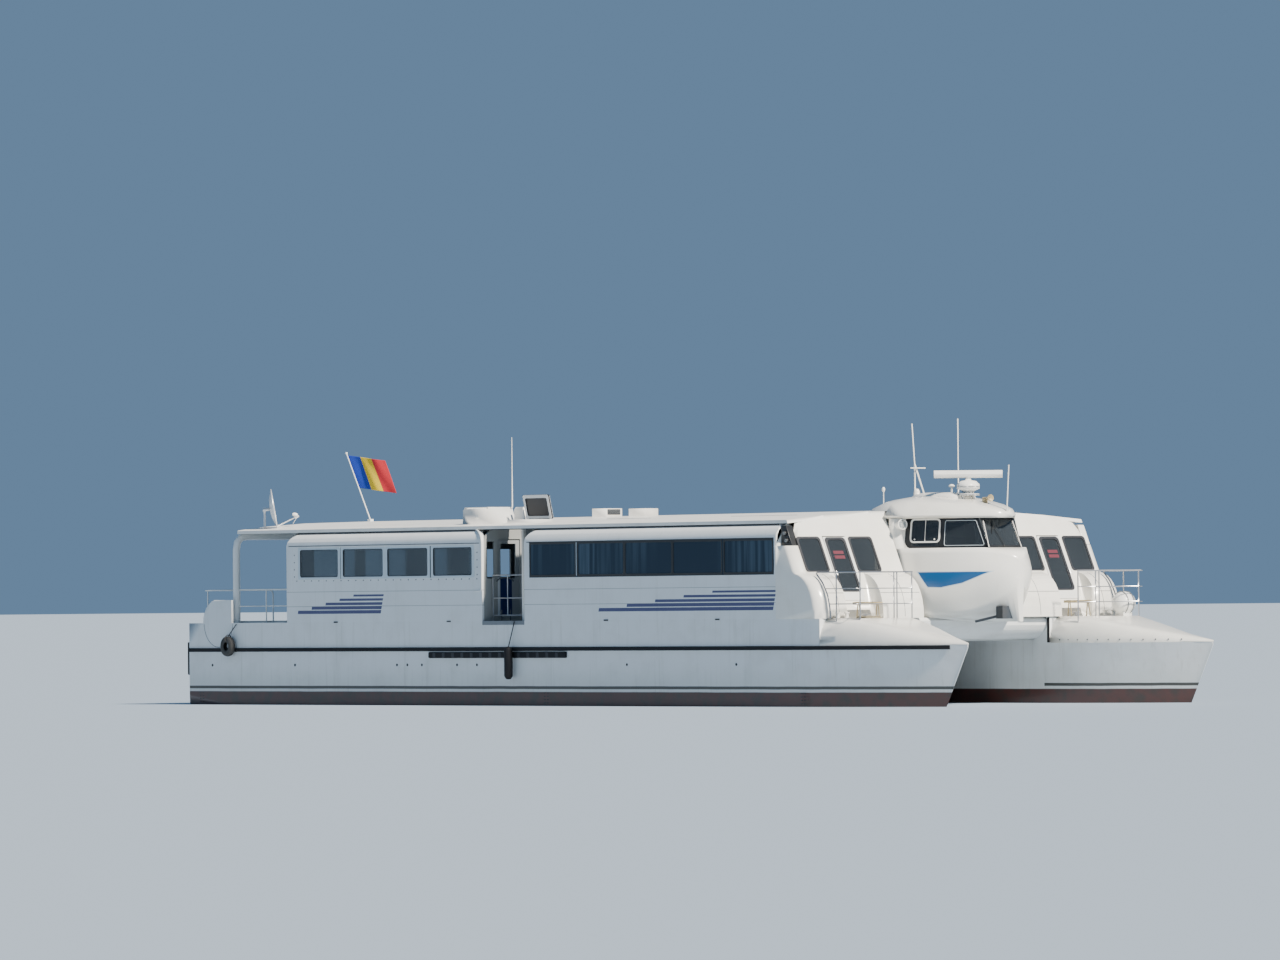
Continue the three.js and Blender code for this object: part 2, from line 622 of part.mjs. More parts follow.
function frontRing(z, side) {
  const x = frontX(z);
  const depth = Math.min(CORNER_DEPTH, x - FORWARD_SALOON[1] - WALL);
  const corner = arc([x - depth, HALF_BEAM - CORNER_WIDTH], [depth, CORNER_WIDTH], 90, 0, 4);
  const above = Math.max(0, z - CORNICE_Z) / CORNICE_RADIUS;
  const lean = CORNICE_RADIUS * (1 - Math.sqrt(1 - Math.min(1, above) ** 2));
  const aft = FORWARD_SALOON[1] + GAP;
  const outline = [[aft, POD_SIDE_Y], [aft, HALF_BEAM], ...corner, [x, POD_SIDE_Y]];
  return outline.map(([px, py]) => [px, side * (py > POD_SIDE_Y ? py - lean : py), z]);
}

function rakedBlock(depth, y, [z0, z1], side) {
  const outline = [
    [rakeX(z0) - depth, z0], [rakeX(z0) + depth, z0], [rakeX(z1) + depth, z1], [rakeX(z1) - depth, z1]];
  return sideView(outline, y.map((value) => side * value));
}

function makeFrontWall(name, side) {
  const block = loft(FRONT_LEVELS.map((z) => frontRing(z, side)));
  const room = sideView([
    [9000, DECK_Z - WALL], [rakeX(DECK_Z - WALL) - WALL, DECK_Z - WALL],
    [rakeX(FRONT_TOP_Z + WALL) - WALL, FRONT_TOP_Z + WALL], [9000, FRONT_TOP_Z + WALL],
  ], [side * (POD_SIDE_Y - 10), side * (HALF_BEAM - CORNICE_RADIUS)]);
  const niche = sideView([
    [rakeX(DECK_Z - 100), DECK_Z - 100], [FAR, DECK_Z - 100], [FAR, COWL_TOP_Z + 60],
    [rakeX(COWL_TOP_Z + 60), COWL_TOP_Z + 60],
  ], NICHE_Y.map((y) => side * y));
  const openings = [
    rakedBlock(300, OUTER_WINDOW_Y, FRONT_WINDOW_Z, side),
    rakedBlock(300, INNER_WINDOW_Y, FRONT_WINDOW_Z, side),
    rakedBlock(300, DOOR_Y, DOOR_Z, side),
  ];
  const lampNiche = box([LAMP_NICHE.x, FAR], [side * LAMP_NICHE.y, side * FAR], [LAMP_NICHE.z, FAR]);
  add(`front_wall_${name}`, cut(block, room, niche, openings, lampNiche, overRoofLine(underRoof)),
    materials.gelcoat);
}

// A sheet behind each front wall, with legs either side of the door
function makeFrontGlass(name, side) {
  const behind = WALL + GAP;
  const sheet = (y, [z0, z1]) => sideView([
    [rakeX(z0) - behind - GLASS, z0], [rakeX(z0) - behind, z0],
    [rakeX(z1) - behind, z1], [rakeX(z1) - behind - GLASS, z1]], y.map((value) => side * value));
  const lap = 40;
  const low = FRONT_WINDOW_Z[0] - lap;
  const bridge = [DOOR_Z[1] + 30, DOOR_Z[1] + 90];
  const innerLeg = sheet([INNER_WINDOW_Y[0] - lap, INNER_WINDOW_Y[1] + lap], [low, bridge[1]]);
  const outerLeg = sheet([OUTER_WINDOW_Y[0] - lap, LAMP_NICHE.y - 30], [low, bridge[1]]);
  const across = sheet([INNER_WINDOW_Y[0] - lap, LAMP_NICHE.y - 30], bridge);
  add(`front_glass_${name}`, join(innerLeg, outerLeg, across), materials.glass);
}

function makeFrontDoor(name, side) {
  const slant = Math.hypot(1, RAKE);
  const proud = (GAP + HINGE_RADIUS) * slant;
  const place = (y, [z0, z1], front, back) => sideView([
    [rakeX(z0) + back, z0], [rakeX(z0) + front, z0], [rakeX(z1) + front, z1], [rakeX(z1) + back, z1],
  ], y.map((value) => side * value));
  const [low, high] = [DOOR_Z[0] + DOOR_CLEARANCE, DOOR_Z[1] - DOOR_HEAD_CLEARANCE];
  const leaf = place([DOOR_Y[0] + DOOR_CLEARANCE, DOOR_Y[1] - DOOR_CLEARANCE], [low, high],
    proud, proud - DOOR_LEAF);
  const light = place([DOOR_Y[0] + 80, DOOR_Y[1] - 80], DOOR_GLASS_Z, 2 * WALL, -2 * WALL);
  const axisY = DOOR_Y[0] - HINGE_RADIUS;
  const [hingeLow, hingeHigh] = [low + 90, high - 90];
  const hinge = bar([rakeX(hingeLow) + proud, side * axisY, hingeLow],
    [rakeX(hingeHigh) + proud, side * axisY, hingeHigh], HINGE_RADIUS);
  const strap = place([axisY, DOOR_Y[0] + 60], [hingeLow, hingeHigh], proud + HINGE_STRAP * slant, proud - 1);
  add(`front_door_${name}`, join(cut(leaf, light), hinge, strap), materials.white);
}

// Roof slab with its camber, and what is welded to it
function roofOutline() {
  const spread = [...ROOF_BREAKS.map((y) => -y), ...ROOF_BREAKS.slice(0, 3).reverse()];
  const top = spread.map((y) => [y, camberZ(y)]);
  const bottom = [...spread].reverse().map((y) => [y, camberZ(y) - ROOF_THICKNESS]);
  return [...top, ...bottom];
}

// columns: x range, y range, height over the roof
const ROOF_BOXES = [
  [[-1360, -830], [-2050, -1535], 215],
  [[100, 735], [-2050, -1640], 195],
];
// Locker with a leaning front, and an arch-topped panel beside it. columns: outline from the side, y range
const ROOF_PANELS = [
  [[[-4120, 4428], [-2880, 4428], [-3060, 4845], [-4030, 4845], [-4090, 4790]], [-3950, -3220]],
  [[[-2850, 4460], [-2450, 4460], [-2450, 4780], [-2520, 4850], [-2780, 4850], [-2850, 4780]],
    [-3320, -3270]],
];
const HATCH = { x: [-2370, -1350], y: [-3900, -3300], height: 90, wall: 40 };

function makeRoof() {
  const slab = prism('x', roofOutline(), [ROOF_AFT_X - ROOF_BOW, ROOF_FRONT_X]);
  const plan = prism('z', [
    ...arc([ROOF_AFT_X, 0], [ROOF_BOW, ROOF_HALF_WIDTH], 90, 270, 12),
    [ROOF_FRONT_X, -ROOF_HALF_WIDTH], [ROOF_FRONT_X, ROOF_HALF_WIDTH],
  ], [ROOF_SEAT_Z - 100, ROOF_CROWN_Z + 100]);
  const boxes = ROOF_BOXES.map(([x, y, height]) => {
    const low = camberZ(Math.max(Math.abs(y[0]), Math.abs(y[1])));
    return box(x, y, [low - 30, low + height]);
  });
  const base = camberZ(HATCH.y[0]);
  const coaming = box(HATCH.x, HATCH.y, [base - 20, base + HATCH.height]);
  const mouth = box([HATCH.x[0] + HATCH.wall, HATCH.x[1] - HATCH.wall],
    [HATCH.y[0] + HATCH.wall, HATCH.y[1] - HATCH.wall], [ROOF_SEAT_Z - 200, FAR]);
  const posts = SIDES.map(([, side]) => box([-1040, -960], [side * 4480, side * 4400], [DECK_Z + GAP, 4370]));
  const ahead = sideView([
    [rakeX(4200), 4200], [FAR, 4200], [FAR, 4800], [rakeX(4800), 4800]], [-HALF_BEAM, HALF_BEAM]);
  const gear = ROOF_PANELS.map(([outline, y]) => sideView(outline, y));
  add('roof', cut(join(slab.intersect(plan), boxes, gear, coaming, posts), mouth, ahead), materials.white);
}

// Wheelhouse pod. columns: x, chine y, chine z, belly y, sill y, sill z
const POD_TABLE = [
  [9450, 1420, 2065, 1500, 1480, 3700],
  [10300, 1300, 2063, 1440, 1360, 3700],
  [11000, 1040, 2062, 1250, 1140, 3700],
  [11400, 800, 2100, 1080, 960, 3700],
  [11750, 580, 2240, 880, 750, 3700],
  [12100, 390, 2430, 620, 440, 3665],
  [12350, 200, 2640, 330, 170, 3585],
  [12440, 70, 2800, 90, 60, 3450],
];
const POD_STEPS = 2;

// Value on a smooth curve through the values of a list, at a place between two of them
function smoothAt(values, i, share) {
  const at = (k) => values[THREE.MathUtils.clamp(k, 0, values.length - 1)];
  const [a, b, c, d] = [at(i - 1), at(i), at(i + 1), at(i + 2)];
  const slopes = [(c - a) / 2, (d - b) / 2];
  const [s2, s3] = [share ** 2, share ** 3];
  return b * (2 * s3 - 3 * s2 + 1) + slopes[0] * (s3 - 2 * s2 + share)
    + c * (3 * s2 - 2 * s3) + slopes[1] * (s3 - s2);
}

// Rows of a table with more rows between them
function smoothRows(table, steps) {
  const rows = table.slice(0, -1).flatMap((_, i) => Array.from({ length: steps }, (__, s) => (
    table[i].map((___, column) => smoothAt(table.map((row) => row[column]), i, s / steps)))));
  return [...rows, table[table.length - 1]];
}

function podSection([x, chineY, chineZ, bellyY, sillY, sillZ], bottom, grow) {
  const middleZ = (chineZ + BELLY_Z) / 2;
  const middleY = (chineY + bellyY) / 2 + 0.1 * (bellyY - 40);
  const sill = [sillY, Math.min(sillZ, SILL_Z)];
  const corners = [[chineY, chineZ + 2], [middleY, middleZ], [bellyY, BELLY_Z], sill];
  const side = smoothRows(corners, 3);
  const half = [
    [KEEL_HALF_WIDTH + grow, bottom - grow],
    ...side.map(([y, z], i) => [Math.min(y, POD_SIDE_Y - TRIM) + grow, i === 0 ? z - grow : z])];
  const left = half.map(([y, z]) => [x, -y, z]).reverse();
  return [...half.map(([y, z]) => [x, y, z]), ...left];
}

function podBody(grow) {
  const lower = (x) => (x < BRIDGE_FRONT_X + 5 ? DECK_Z + GAP : KEEL_Z);
  const rings = [];
  const table = smoothRows(POD_TABLE, POD_STEPS);
  table.forEach((row, i) => {
    rings.push(podSection(row, lower(row[0]), grow));
    const next = table[i + 1];
    if (next && row[0] < BRIDGE_FRONT_X && next[0] > BRIDGE_FRONT_X) {
      const share = (BRIDGE_FRONT_X + 1 - row[0]) / (next[0] - row[0]);
      const between = row.map((value, k) => value + (next[k] - value) * share);
      rings.push(podSection(between, DECK_Z + GAP, grow));
      between[0] += 2;
      rings.push(podSection(between, KEEL_Z, grow));
    }
  });
  return loft(rings);
}

// Plan of the window band at a height, pulled in by an amount
function paneOutline(z, inset, aftX) {
  const lean = (PANE_LEAN * (z - SILL_Z)) / (BROW_Z - SILL_Z);
  const [[x0, y0], [x1, y1]] = PANE_SIDE;
  const slope = (y1 - y0) / (x1 - x0);
  const front = x1 - lean - inset;
  const shift = inset * Math.hypot(1, slope);
  const sideY = (x) => y0 + slope * (x - x0) - shift - lean * 0.2;
  return [[aftX, sideY(aftX)], [front, sideY(front)], [front, -sideY(front)], [aftX, -sideY(aftX)]]
    .map(([x, y]) => [x, y, z]);
}

function paneBand([z0, z1], outer, inner, aftX) {
  const skin = loft([paneOutline(z0, outer, aftX), paneOutline(z1, outer, aftX)]);
  const room = loft([paneOutline(z0 - 10, inner, aftX - 100), paneOutline(z1 + 10, inner, aftX - 100)]);
  return cut(skin, room);
}

const PANES_AFT_X = 9720;
const PILLAR_X = [10660, 11700];

function makeWheelhouse() {
  const wellPlan = [[9300, -1250], [11300, -500], [11300, 500], [9300, 1250]];
  const well = prism('z', wellPlan, [POD_FLOOR_Z, BROW_Z + 100]);
  const band = paneBand([SILL_Z - 60, BROW_Z - GAP], GLASS + GAP, GLASS + 60, 9470);
  const lights = [
    ...SIDES.flatMap(([, side]) => [
      box([9950, PILLAR_X[0] - 40], [side * 200, side * 3000], [SILL_Z + 60, BROW_Z - 60]),
      box([PILLAR_X[0] + 40, PILLAR_X[1] - 40], [side * 200, side * 3000], [SILL_Z + 60, BROW_Z - 60])]),
    box([PILLAR_X[1] - 400, 12500], [-380, 380], [SILL_Z + 60, BROW_Z - 60]),
  ];
  const cheeks = SIDES.map(([, side]) => prism('z', [
    [9420, side * 1240], [9420, side * (POD_SIDE_Y - TRIM)], [9600, side * (POD_SIDE_Y - TRIM)],
    [PANES_AFT_X - TRIM, side * 1400], [PANES_AFT_X - TRIM, side * 1240]], [SILL_Z - 20, BROW_Z - TRIM]));
  add('wheelhouse_shell', join(cut(podBody(0), well), cut(band, lights), cheeks), materials.gelcoat);
  const sheet = paneBand([SILL_Z + GAP, BROW_Z - 2 * GAP], 0, GLASS, PANES_AFT_X);
  add('wheelhouse_glass', sheet, materials.glass);
}

// Roof dome of the wheelhouse. columns: x, half width, crown z
const DOME_TABLE = [
  [7800, 880, 4600], [8120, 1130, 4780], [8600, 1370, 4890], [9345, 1640, 4950], [9900, 1470, 4940],
  [10500, 1240, 4870], [11100, 930, 4780], [11500, 660, 4700], [11800, 390, 4620], [11960, 130, 4540],
];
const DOME_POINTS = 6;

function domeRing([x, half, crown]) {
  const points = [];
  for (let i = 0; i <= 2 * DOME_POINTS; i += 1) {
    const across = 1 - i / DOME_POINTS;
    const rise = (1 - Math.abs(across) ** 2.8) ** 0.55;
    const edge = BROW_Z + 70;
    points.push([x, half * across, edge + (crown - edge) * rise]);
  }
  return [[x, half * 0.94, BROW_Z], ...points, [x, -half * 0.94, BROW_Z]];
}

function makeWheelhouseRoof() {
  const dome = loft(DOME_TABLE.map(domeRing));
  const breaks = [...ROOF_BREAKS, ...ROOF_BREAKS.slice(0, 3).reverse().map((y) => -y)];
  const roofSpace = prism('x', [
    [-ROOF_HALF_WIDTH, 4000], [ROOF_HALF_WIDTH, 4000], ...breaks.map((y) => [y, camberZ(y) + GAP]),
  ], [7000, ROOF_FRONT_X + GAP]);
  const lamp = turned([[0, -30], [150, -30], [150, 30], [90, 60], [80, 180], [50, 230], [0, 240]],
    [8640, 0, 4890], [0, 0, 1], 12);
  const mushroom = join(bar([9930, 0, 4850], [9930, 0, 5160], 22), turned(
    [[0, 0], [70, 0], [75, 30], [40, 60], [0, 70]], [9930, 0, 5150], [0, 0, 1], 10));
  const frameTop = [8560, 0, 5720];
  const aerialFrame = join(
    bar([8640, -60, 4860], frameTop, 20, 6), bar([8900, 60, 4860], frameTop, 20, 6),
    bar([8560, 0, 5700], [8470, 0, 6680], 16, 6), bar([8680, -230, 5620], [8680, 230, 5620], 14, 6),
    bar([8680, 0, 5620], [8560, 0, 5645], 9, 6));
  const forwardWhip = bar([11940, 0, 4500], [12030, 0, 5640], 16, 6);
  const tallWhip = bar([9600, 480, 4860], [9600, 480, 6780], 15, 6);
  add('wheelhouse_roof', join(cut(dome, roofSpace), lamp, mushroom, aerialFrame, forwardWhip, tallWhip),
    materials.gelcoat);
}

// Radar
const RADAR = { x: 10540, base: 4860, height: 470, spindle: 115, bar: 1620 };

function makeRadar() {
  const pedestal = turned([
    [0, 80], [260, 80], [260, 120], [120, 130], [150, 190], [270, 240], [270, 340], [190, 420], [70, 440],
    [70, RADAR.height], [0, RADAR.height]], [RADAR.x, 0, RADAR.base], [0, 0, 1], 8);
  const feet = [-150, 150].map((y) => (
    bar([RADAR.x, y, RADAR.base - 5], [RADAR.x, y, RADAR.base + 100], 40, 6)));
  const roofUnder = loft(DOME_TABLE.map((row) => domeRing([row[0], row[1], row[2] + GAP])));
  add('radar_pedestal', cut(join(pedestal, feet), roofUnder), materials.gelcoat);
  const section = arc([0, 0], [75, 90], 0, 315, 7);
  const scanner = prism('x', section, [-RADAR.bar / 2, RADAR.bar / 2]);
  const spindle = bar([0, 0, -RADAR.spindle], [0, 0, 0], 60, 8);
  const mesh = add('radar_scanner', join(scanner, spindle), materials.gelcoat);
  mesh.position.set(RADAR.x, 0, RADAR.base + RADAR.height + RADAR.spindle + GAP);
  mesh.rotation.z = THREE.MathUtils.degToRad(52);
}

// Anchor on the starboard side of the centre bow
function makeAnchor() {
  const crown = box([11990, 12230], [-400, -90], [2020, 2320]);
  const shank = bar([12050, -300, 2100], [11520, -640, 1960], 36, 6);
  add('anchor', cut(join(crown, shank), podBody(GAP)), materials.iron);
}

// Foredeck rails: across the deck, round the outboard corner and back to the cowl
const RAIL = {
  x: 11500, splay: 220, inner: 2540, outer: 4430, aft: 10230,
  radius: 19, lowRadius: 14, postRadius: 17, standOff: 85, heights: [340, 700, 1080],
};
const RAIL_POST_Y = [2560, 3060, 3160, 4290];

function railX(y) {
  return RAIL.x + (RAIL.splay * (y - RAIL.inner)) / (RAIL.outer - RAIL.inner);
}

function makeForedeckRail(name, side) {
  const [y0, y1] = [side * RAIL.inner, side * RAIL.outer];
  const foot = DECK_Z + GAP;
  const top = DECK_Z + RAIL.heights[2];
  const besideCowl = [2900, 2600, 2300].map((z) => [frontX(z) + RAIL.standOff, y1, z]);
  const topRun = pipe([
    [RAIL.x, y0, top], [railX(RAIL.outer), y1, top], [RAIL.aft, y1, top], ...besideCowl,
    [COWL_BASE_X + RAIL.standOff, y1, foot]], RAIL.radius, 90, 6);
  const lowRuns = RAIL.heights.slice(0, 2).map((height) => pipe([
    [RAIL.x, y0, DECK_Z + height], [railX(RAIL.outer), y1, DECK_Z + height],
    [frontX(DECK_Z + height) + RAIL.standOff, y1, DECK_Z + height]], RAIL.lowRadius, 90, 6));
  const posts = [...RAIL_POST_Y.map((y) => [railX(y), y]), [11000, RAIL.outer]]
    .map(([x, y]) => bar([x, side * y, DECK_Z - 150], [x, side * y, top], RAIL.postRadius, 6));
  const under = box([COWL_BASE_X - 100, NOSE_AFT_X + 10], [side * RAIL.inner, side * HALF_BEAM],
    [DECK_Z - 200, foot]);
  const rail = cut(join(topRun, lowRuns, posts), under, noseBody(side, GAP));
  add(`foredeck_rail_${name}`, rail, materials.steel);
}

function makeStepBoard(name, side) {
  const board = box([10580, 10840], [side * 2900, side * 3600], [2380, 2440]);
  const legs = [2960, 3540].flatMap((y) => [
    bar([10700, side * y, 2400], [10660, side * y, DECK_Z + GAP], 14, 6),
    bar([10740, side * y, 2400], [10800, side * y, DECK_Z + GAP], 14, 6)]);
  const under = box([BRIDGE_FRONT_X, 11000], [side * 2500, side * 4000], [DECK_Z - 200, DECK_Z + GAP]);
  add(`step_board_${name}`, cut(join(board, legs), under), materials.beige);
}

// Liferaft canister, nearly a ball, on a chock
function makeLiferaft() {
  const radius = 280;
  const centre = [11340, 4130, DECK_Z + radius + 25];
  const end = [[0, 265], [130, 252], [215, 190], [265, 90]];
  const nearEnd = end.map(([r, along]) => [r, -along]);
  const drum = turned([...nearEnd, [radius, 0], ...end.reverse()], centre, [0, 1, 0], 16);
  const chock = box([11190, 11490], [3990, 4270], [DECK_Z + GAP, DECK_Z + 90]);
  add('liferaft', join(drum, chock), materials.beige);
}

// Mooring rope coiled on the starboard foredeck, as one ring of its outer shape
const ROPE_COIL = { x: 11200, y: -3600, middle: 250, diameter: 30, across: 3, layers: 2 };

function makeMooringRope() {
  const { x, y, middle, diameter, across, layers } = ROPE_COIL;
  const [inner, outer] = [-1, 1].map((end) => middle + (end * across * diameter) / 2);
  const top = layers * diameter;
  const ring = turned(
    [[inner, 0], [outer, 0], [outer, top], [inner, top], [inner, 0]], [x, y, DECK_Z + GAP], [0, 0, 1], 24);
  add('mooring_rope', ring, materials.rope);
}

// Stern arch under the roof end, with the aft deck rails
const ARCH = { x: -12950, y: 4480, radius: 92, bend: 330 };

function makeSternArch() {
  const foot = DECK_Z + GAP;
  const underside = underRoof(ARCH.y - ARCH.bend) - GAP - ARCH.radius;
  const hoop = pipe([
    [ARCH.x, -ARCH.y, foot], [ARCH.x, -ARCH.y, underside],
    [ARCH.x, ARCH.y, underside], [ARCH.x, ARCH.y, foot],
  ], ARCH.radius, ARCH.bend, 10);
  const rails = SIDES.flatMap(([, side]) => {
    const y = side * (ARCH.y - 20);
    return [
      bar([ARCH.x, y, 2895], [-10540, y, 2895], 20, 6), bar([ARCH.x, y, 2480], [-10560, y, 2480], 14, 6),
      bar([-11700, y, foot], [-11700, y, 2895], 17, 6), bar([-10560, y, foot], [-10560, y, 2895], 17, 6),
      pipe([[ARCH.x, y, 2890], [-14400, y, 2890], [-14400, side * 2300, 2890], [-14400, side * 2300, foot]],
        20, 120, 6),
      bar([-14240, y, foot], [-14240, y, 2895], 17, 6),
    ];
  });
  add('stern_arch', join(hoop, rails), materials.white);
}

// Dish on the roof end. Its places are along its facing and up its face, from its centre
const DISH = { centre: [-12300, -3900, 4930], facing: [0.59, 0.79, 0.16], postBehind: 130, seat: 90 };
const DISH_PROFILE = [[0, 0], [250, 25], [490, 105], [490, 120], [250, 45], [0, 22]];

function makeDish() {
  const facing = new THREE.Vector3(...DISH.facing).normalize();
  const up = new THREE.Vector3(0, 0, 1).addScaledVector(facing, -facing.z).normalize();
  const centre = new THREE.Vector3(...DISH.centre);
  const place = (along, rise) => centre.clone().addScaledVector(facing, along).addScaledVector(up, rise);
  const shell = turned(DISH_PROFILE, DISH.centre, facing.toArray(), 21);
  const { x, y, z } = place(-DISH.postBehind, 0);
  const deck = camberZ(Math.abs(y) - DISH.seat);
  const seat = box([x - DISH.seat, x + DISH.seat], [y - DISH.seat, y + DISH.seat], [deck + GAP, deck + 30]);
  const post = bar([x, y, deck + 20], [x, y, z + 60], 28, 8);
  const neck = bar(place(-DISH.postBehind - 45, 0).toArray(), place(7, 4).toArray(), 42, 7);
  const arm = bar(place(95, -470).toArray(), place(620, -308).toArray(), 16, 6);
  const feed = bar(place(590, -322).toArray(), place(690, -275).toArray(), 42, 8);
  add('dish', join(shell, seat, post, neck, arm, feed), materials.aluminium);
}

// Roof hatch lid: a glazed frame standing open on its inboard edge
const LID_OPEN_DEGREES = 78;

function makeHatchLid() {
  const length = HATCH.x[1] - HATCH.x[0];
  const width = HATCH.y[1] - HATCH.y[0];
  const frame = box([0, length], [-width, 0], [0, 45]);
  const light = box([70, length - 70], [70 - width, -70], [-10, 60]);
  const pane = box([60, length - 60], [60 - width, -60], [16, 28]);
  const hinge = bar([100, 0, 0], [length - 100, 0, 0], HINGE_RADIUS, 12);
  const mesh = add('roof_hatch_lid', join(cut(frame, light), pane, hinge), materials.glass);
  mesh.position.set(HATCH.x[0], HATCH.y[1], camberZ(HATCH.y[0]) + HATCH.height + GAP + HINGE_RADIUS);
  mesh.rotation.x = -THREE.MathUtils.degToRad(LID_OPEN_DEGREES);
}

// Ensign staff raked aft, with the flag blown forward
const STAFF = { footX: -13300, head: [-14320, 0, 6390], radius: 18 };

function makeEnsign() {
  const seat = camberZ(0) + GAP;
  const foot = [STAFF.footX, 0, seat + 30];
  const socket = box([STAFF.footX - 60, STAFF.footX + 60], [-50, 50], [seat, seat + 60]);
  const staff = bar(foot, STAFF.head, STAFF.radius, 6);
  const truck = turned([[0, -30], [35, -10], [35, 10], [0, 30]], STAFF.head, [-0.5, 0, 0.86], 8);
  add('ensign_staff', join(socket, staff, truck), materials.white);
  const up = new THREE.Vector3(...STAFF.head).sub(new THREE.Vector3(...foot)).normalize();
  const fly = new THREE.Vector3(Math.cos(0.17), Math.sin(0.17), 0);
  const top = new THREE.Vector3(...STAFF.head).addScaledVector(up, -60).addScaledVector(fly, 21.5);
  const corner = (along, down) => {
    const point = top.clone().addScaledVector(up, -down).addScaledVector(fly, along);
    return [point.x, point.y, point.z - along * 0.12];
  };
  const across = new THREE.Vector3(-Math.sin(0.17), Math.cos(0.17), 0);
  const face = (shift) => [[0, 0], [1300, 0], [1300, 980], [0, 980]].map(([along, down]) => {
    const [x, y, z] = corner(along, down);
    return [x + across.x * shift, y + across.y * shift, z];
  });
  add('flag', loft([face(-55), face(55)]), materials.flag);
}

// Fenders over the starboard side
function makeFenders() {
  const skin = -(HALF_BEAM + STRAKE_DEPTH + TRIM);
  const ring = Array.from({ length: 9 }, (_, k) => {
    const angle = (2 * Math.PI * k) / 8;
    return [180 + 75 * Math.cos(angle), 75 * Math.sin(angle)];
  });
  const tyre = turned(ring, [-12850, skin - 75, 1470], [0, 1, 0], 20);
  const line = bar([-12850, skin - 75, 1660], [-12600, -(HALF_BEAM + 30), 2030], 12, 6);
  add('tyre_fender', join(tyre, line), materials.tyre);
  const radius = 105;
  const fender = turned([
    [0, -400], [60, -390], [radius, -320], [radius, 320], [60, 390], [0, 400]],
    [-1090, skin - radius, 1040], [0, 0, 1], 12);
  const tail = bar([-1090, skin - radius, 1400], [-1000, -(HALF_BEAM + 30), 2050], 14, 6);
  add('rope_fender', join(fender, tail), materials.beige);
}

// Boarding gates across the aft part of each side entrance
const GATE = { x: [-2250, -1075], heights: [140, 560, 1120] };

function makeGate(name, side) {
  const y = side * 4440;
  const [x0, x1] = GATE.x;
  const [low, , high] = GATE.heights.map((height) => DECK_Z + height);
  const rails = GATE.heights.map((height) => bar([x0, y, DECK_Z + height], [x1, y, DECK_Z + height], 15, 6));
  const posts = [(x0 + x1) / 2, x1].map((x) => bar([x, y, low], [x, y, high], 17, 6));
  const pintle = bar([x0, y, DECK_Z + GAP], [x0, y, high], 19, 6);
  add(`boarding_gate_${name}`, join(rails, posts, pintle), materials.steel);
}

// Stern gear
const BLADE = [[-20, 50], [-150, 180], [-160, 300], [-60, PROPELLER_RADIUS], [70, 350], [120, 220], [40, 50]];
const BLADE_THICKNESS = 18;
const BLADE_PITCH_DEGREES = 28;
const HUB_FRONT = 120;

// The aft hull skin, a gap lower
function loweredSkin(side) {
  const rings = HULL_STATIONS.slice(0, 5).map((x) => hullRing(x, side));
  return loft(rings.map((ring) => ring.map(([x, y, z]) => [x, y, z - GAP])));
}

// The keel line over the rudder, straight between the first two stations
function keelChordZ(x) {
  const [aft, fore] = HULL_STATIONS;
  return keelZ(aft) + ((keelZ(fore) - keelZ(aft)) * (x - aft)) / (fore - aft);
}

function propellerBlade(turnDegrees) {
  const [turn, pitch] = [turnDegrees, BLADE_PITCH_DEGREES].map(THREE.MathUtils.degToRad);
  const place = new THREE.Euler(turn, 0, pitch);
  const faces = [-BLADE_THICKNESS / 2, BLADE_THICKNESS / 2];
  const turnedPoint = (x, [y, z]) => new THREE.Vector3(x, y, z).applyEuler(place).toArray();
  return loft(faces.map((x) => BLADE.map((point) => turnedPoint(x, point))));
}

function makeShaft(name, side) {
  const y = side * STEM_Y;
  const start = PROPELLER_X + HUB_FRONT + GAP;
  const shaft = bar([start - 50, y, PROPELLER_Z], [-9600, y, -790], 38, 10);
  const boss = bar([start, y, PROPELLER_Z], [start + 260, y, PROPELLER_Z], 75, 10);
  const fin = [[60, 40], [200, 220], [200, 220], [60, 40]];
  const strut = loft([[0, PROPELLER_Z], [1, 0]].map(([end, z]) => fin.map(([...x], k) => [
    start + x[end], y + (k < 2 ? -14 : 14), z])));
  const hubSpace = box([TRANSOM_X, start], [y - 200, y + 200], [-2000, 0]);
  add(`shaft_${name}`, cut(join(shaft, boss, strut), loweredSkin(side), hubSpace), materials.bronze);
}

function makePropeller(name, side) {
  const outline = [[0, -170], [50, -150], [80, -60], [85, HUB_FRONT], [0, HUB_FRONT]];
  const hub = turned(outline, [0, 0, 0], [1, 0, 0], 12);
  const blades = [0, 90, 180, 270].map(propellerBlade);
  const propeller = add(`propeller_${name}`, join(hub, blades), materials.bronze);
  propeller.position.set(PROPELLER_X, side * STEM_Y, PROPELLER_Z);
}

function makeRudder(name, side) {
  const place = [RUDDER_X, side * STEM_Y, RUDDER_Z];
  const [chord, thickness, height] = RUDDER_SIZE;
  const plan = [[-chord * 0.65, 0], [0, thickness / 2], [chord * 0.35, 0], [0, -thickness / 2]];
  const blade = prism('z', plan, [-height / 2, height / 2]);
  const stockTop = keelChordZ(RUDDER_X + STOCK_RADIUS) - GAP - RUDDER_Z;
  const stock = bar([0, 0, 0], [0, 0, stockTop], STOCK_RADIUS, 10);
  const rudder = add(`rudder_${name}`, join(blade, stock), materials.bronze);
  rudder.position.set(...place);
}

// Seats in rows on floor rails
const SEAT_PROFILE = [[0, 2430], [500, 2430], [500, 2560], [130, 2560], [60, 3130], [-50, 3130]];
const SEAT_Y = [800, 4200];
const SEAT_PITCH = 900;

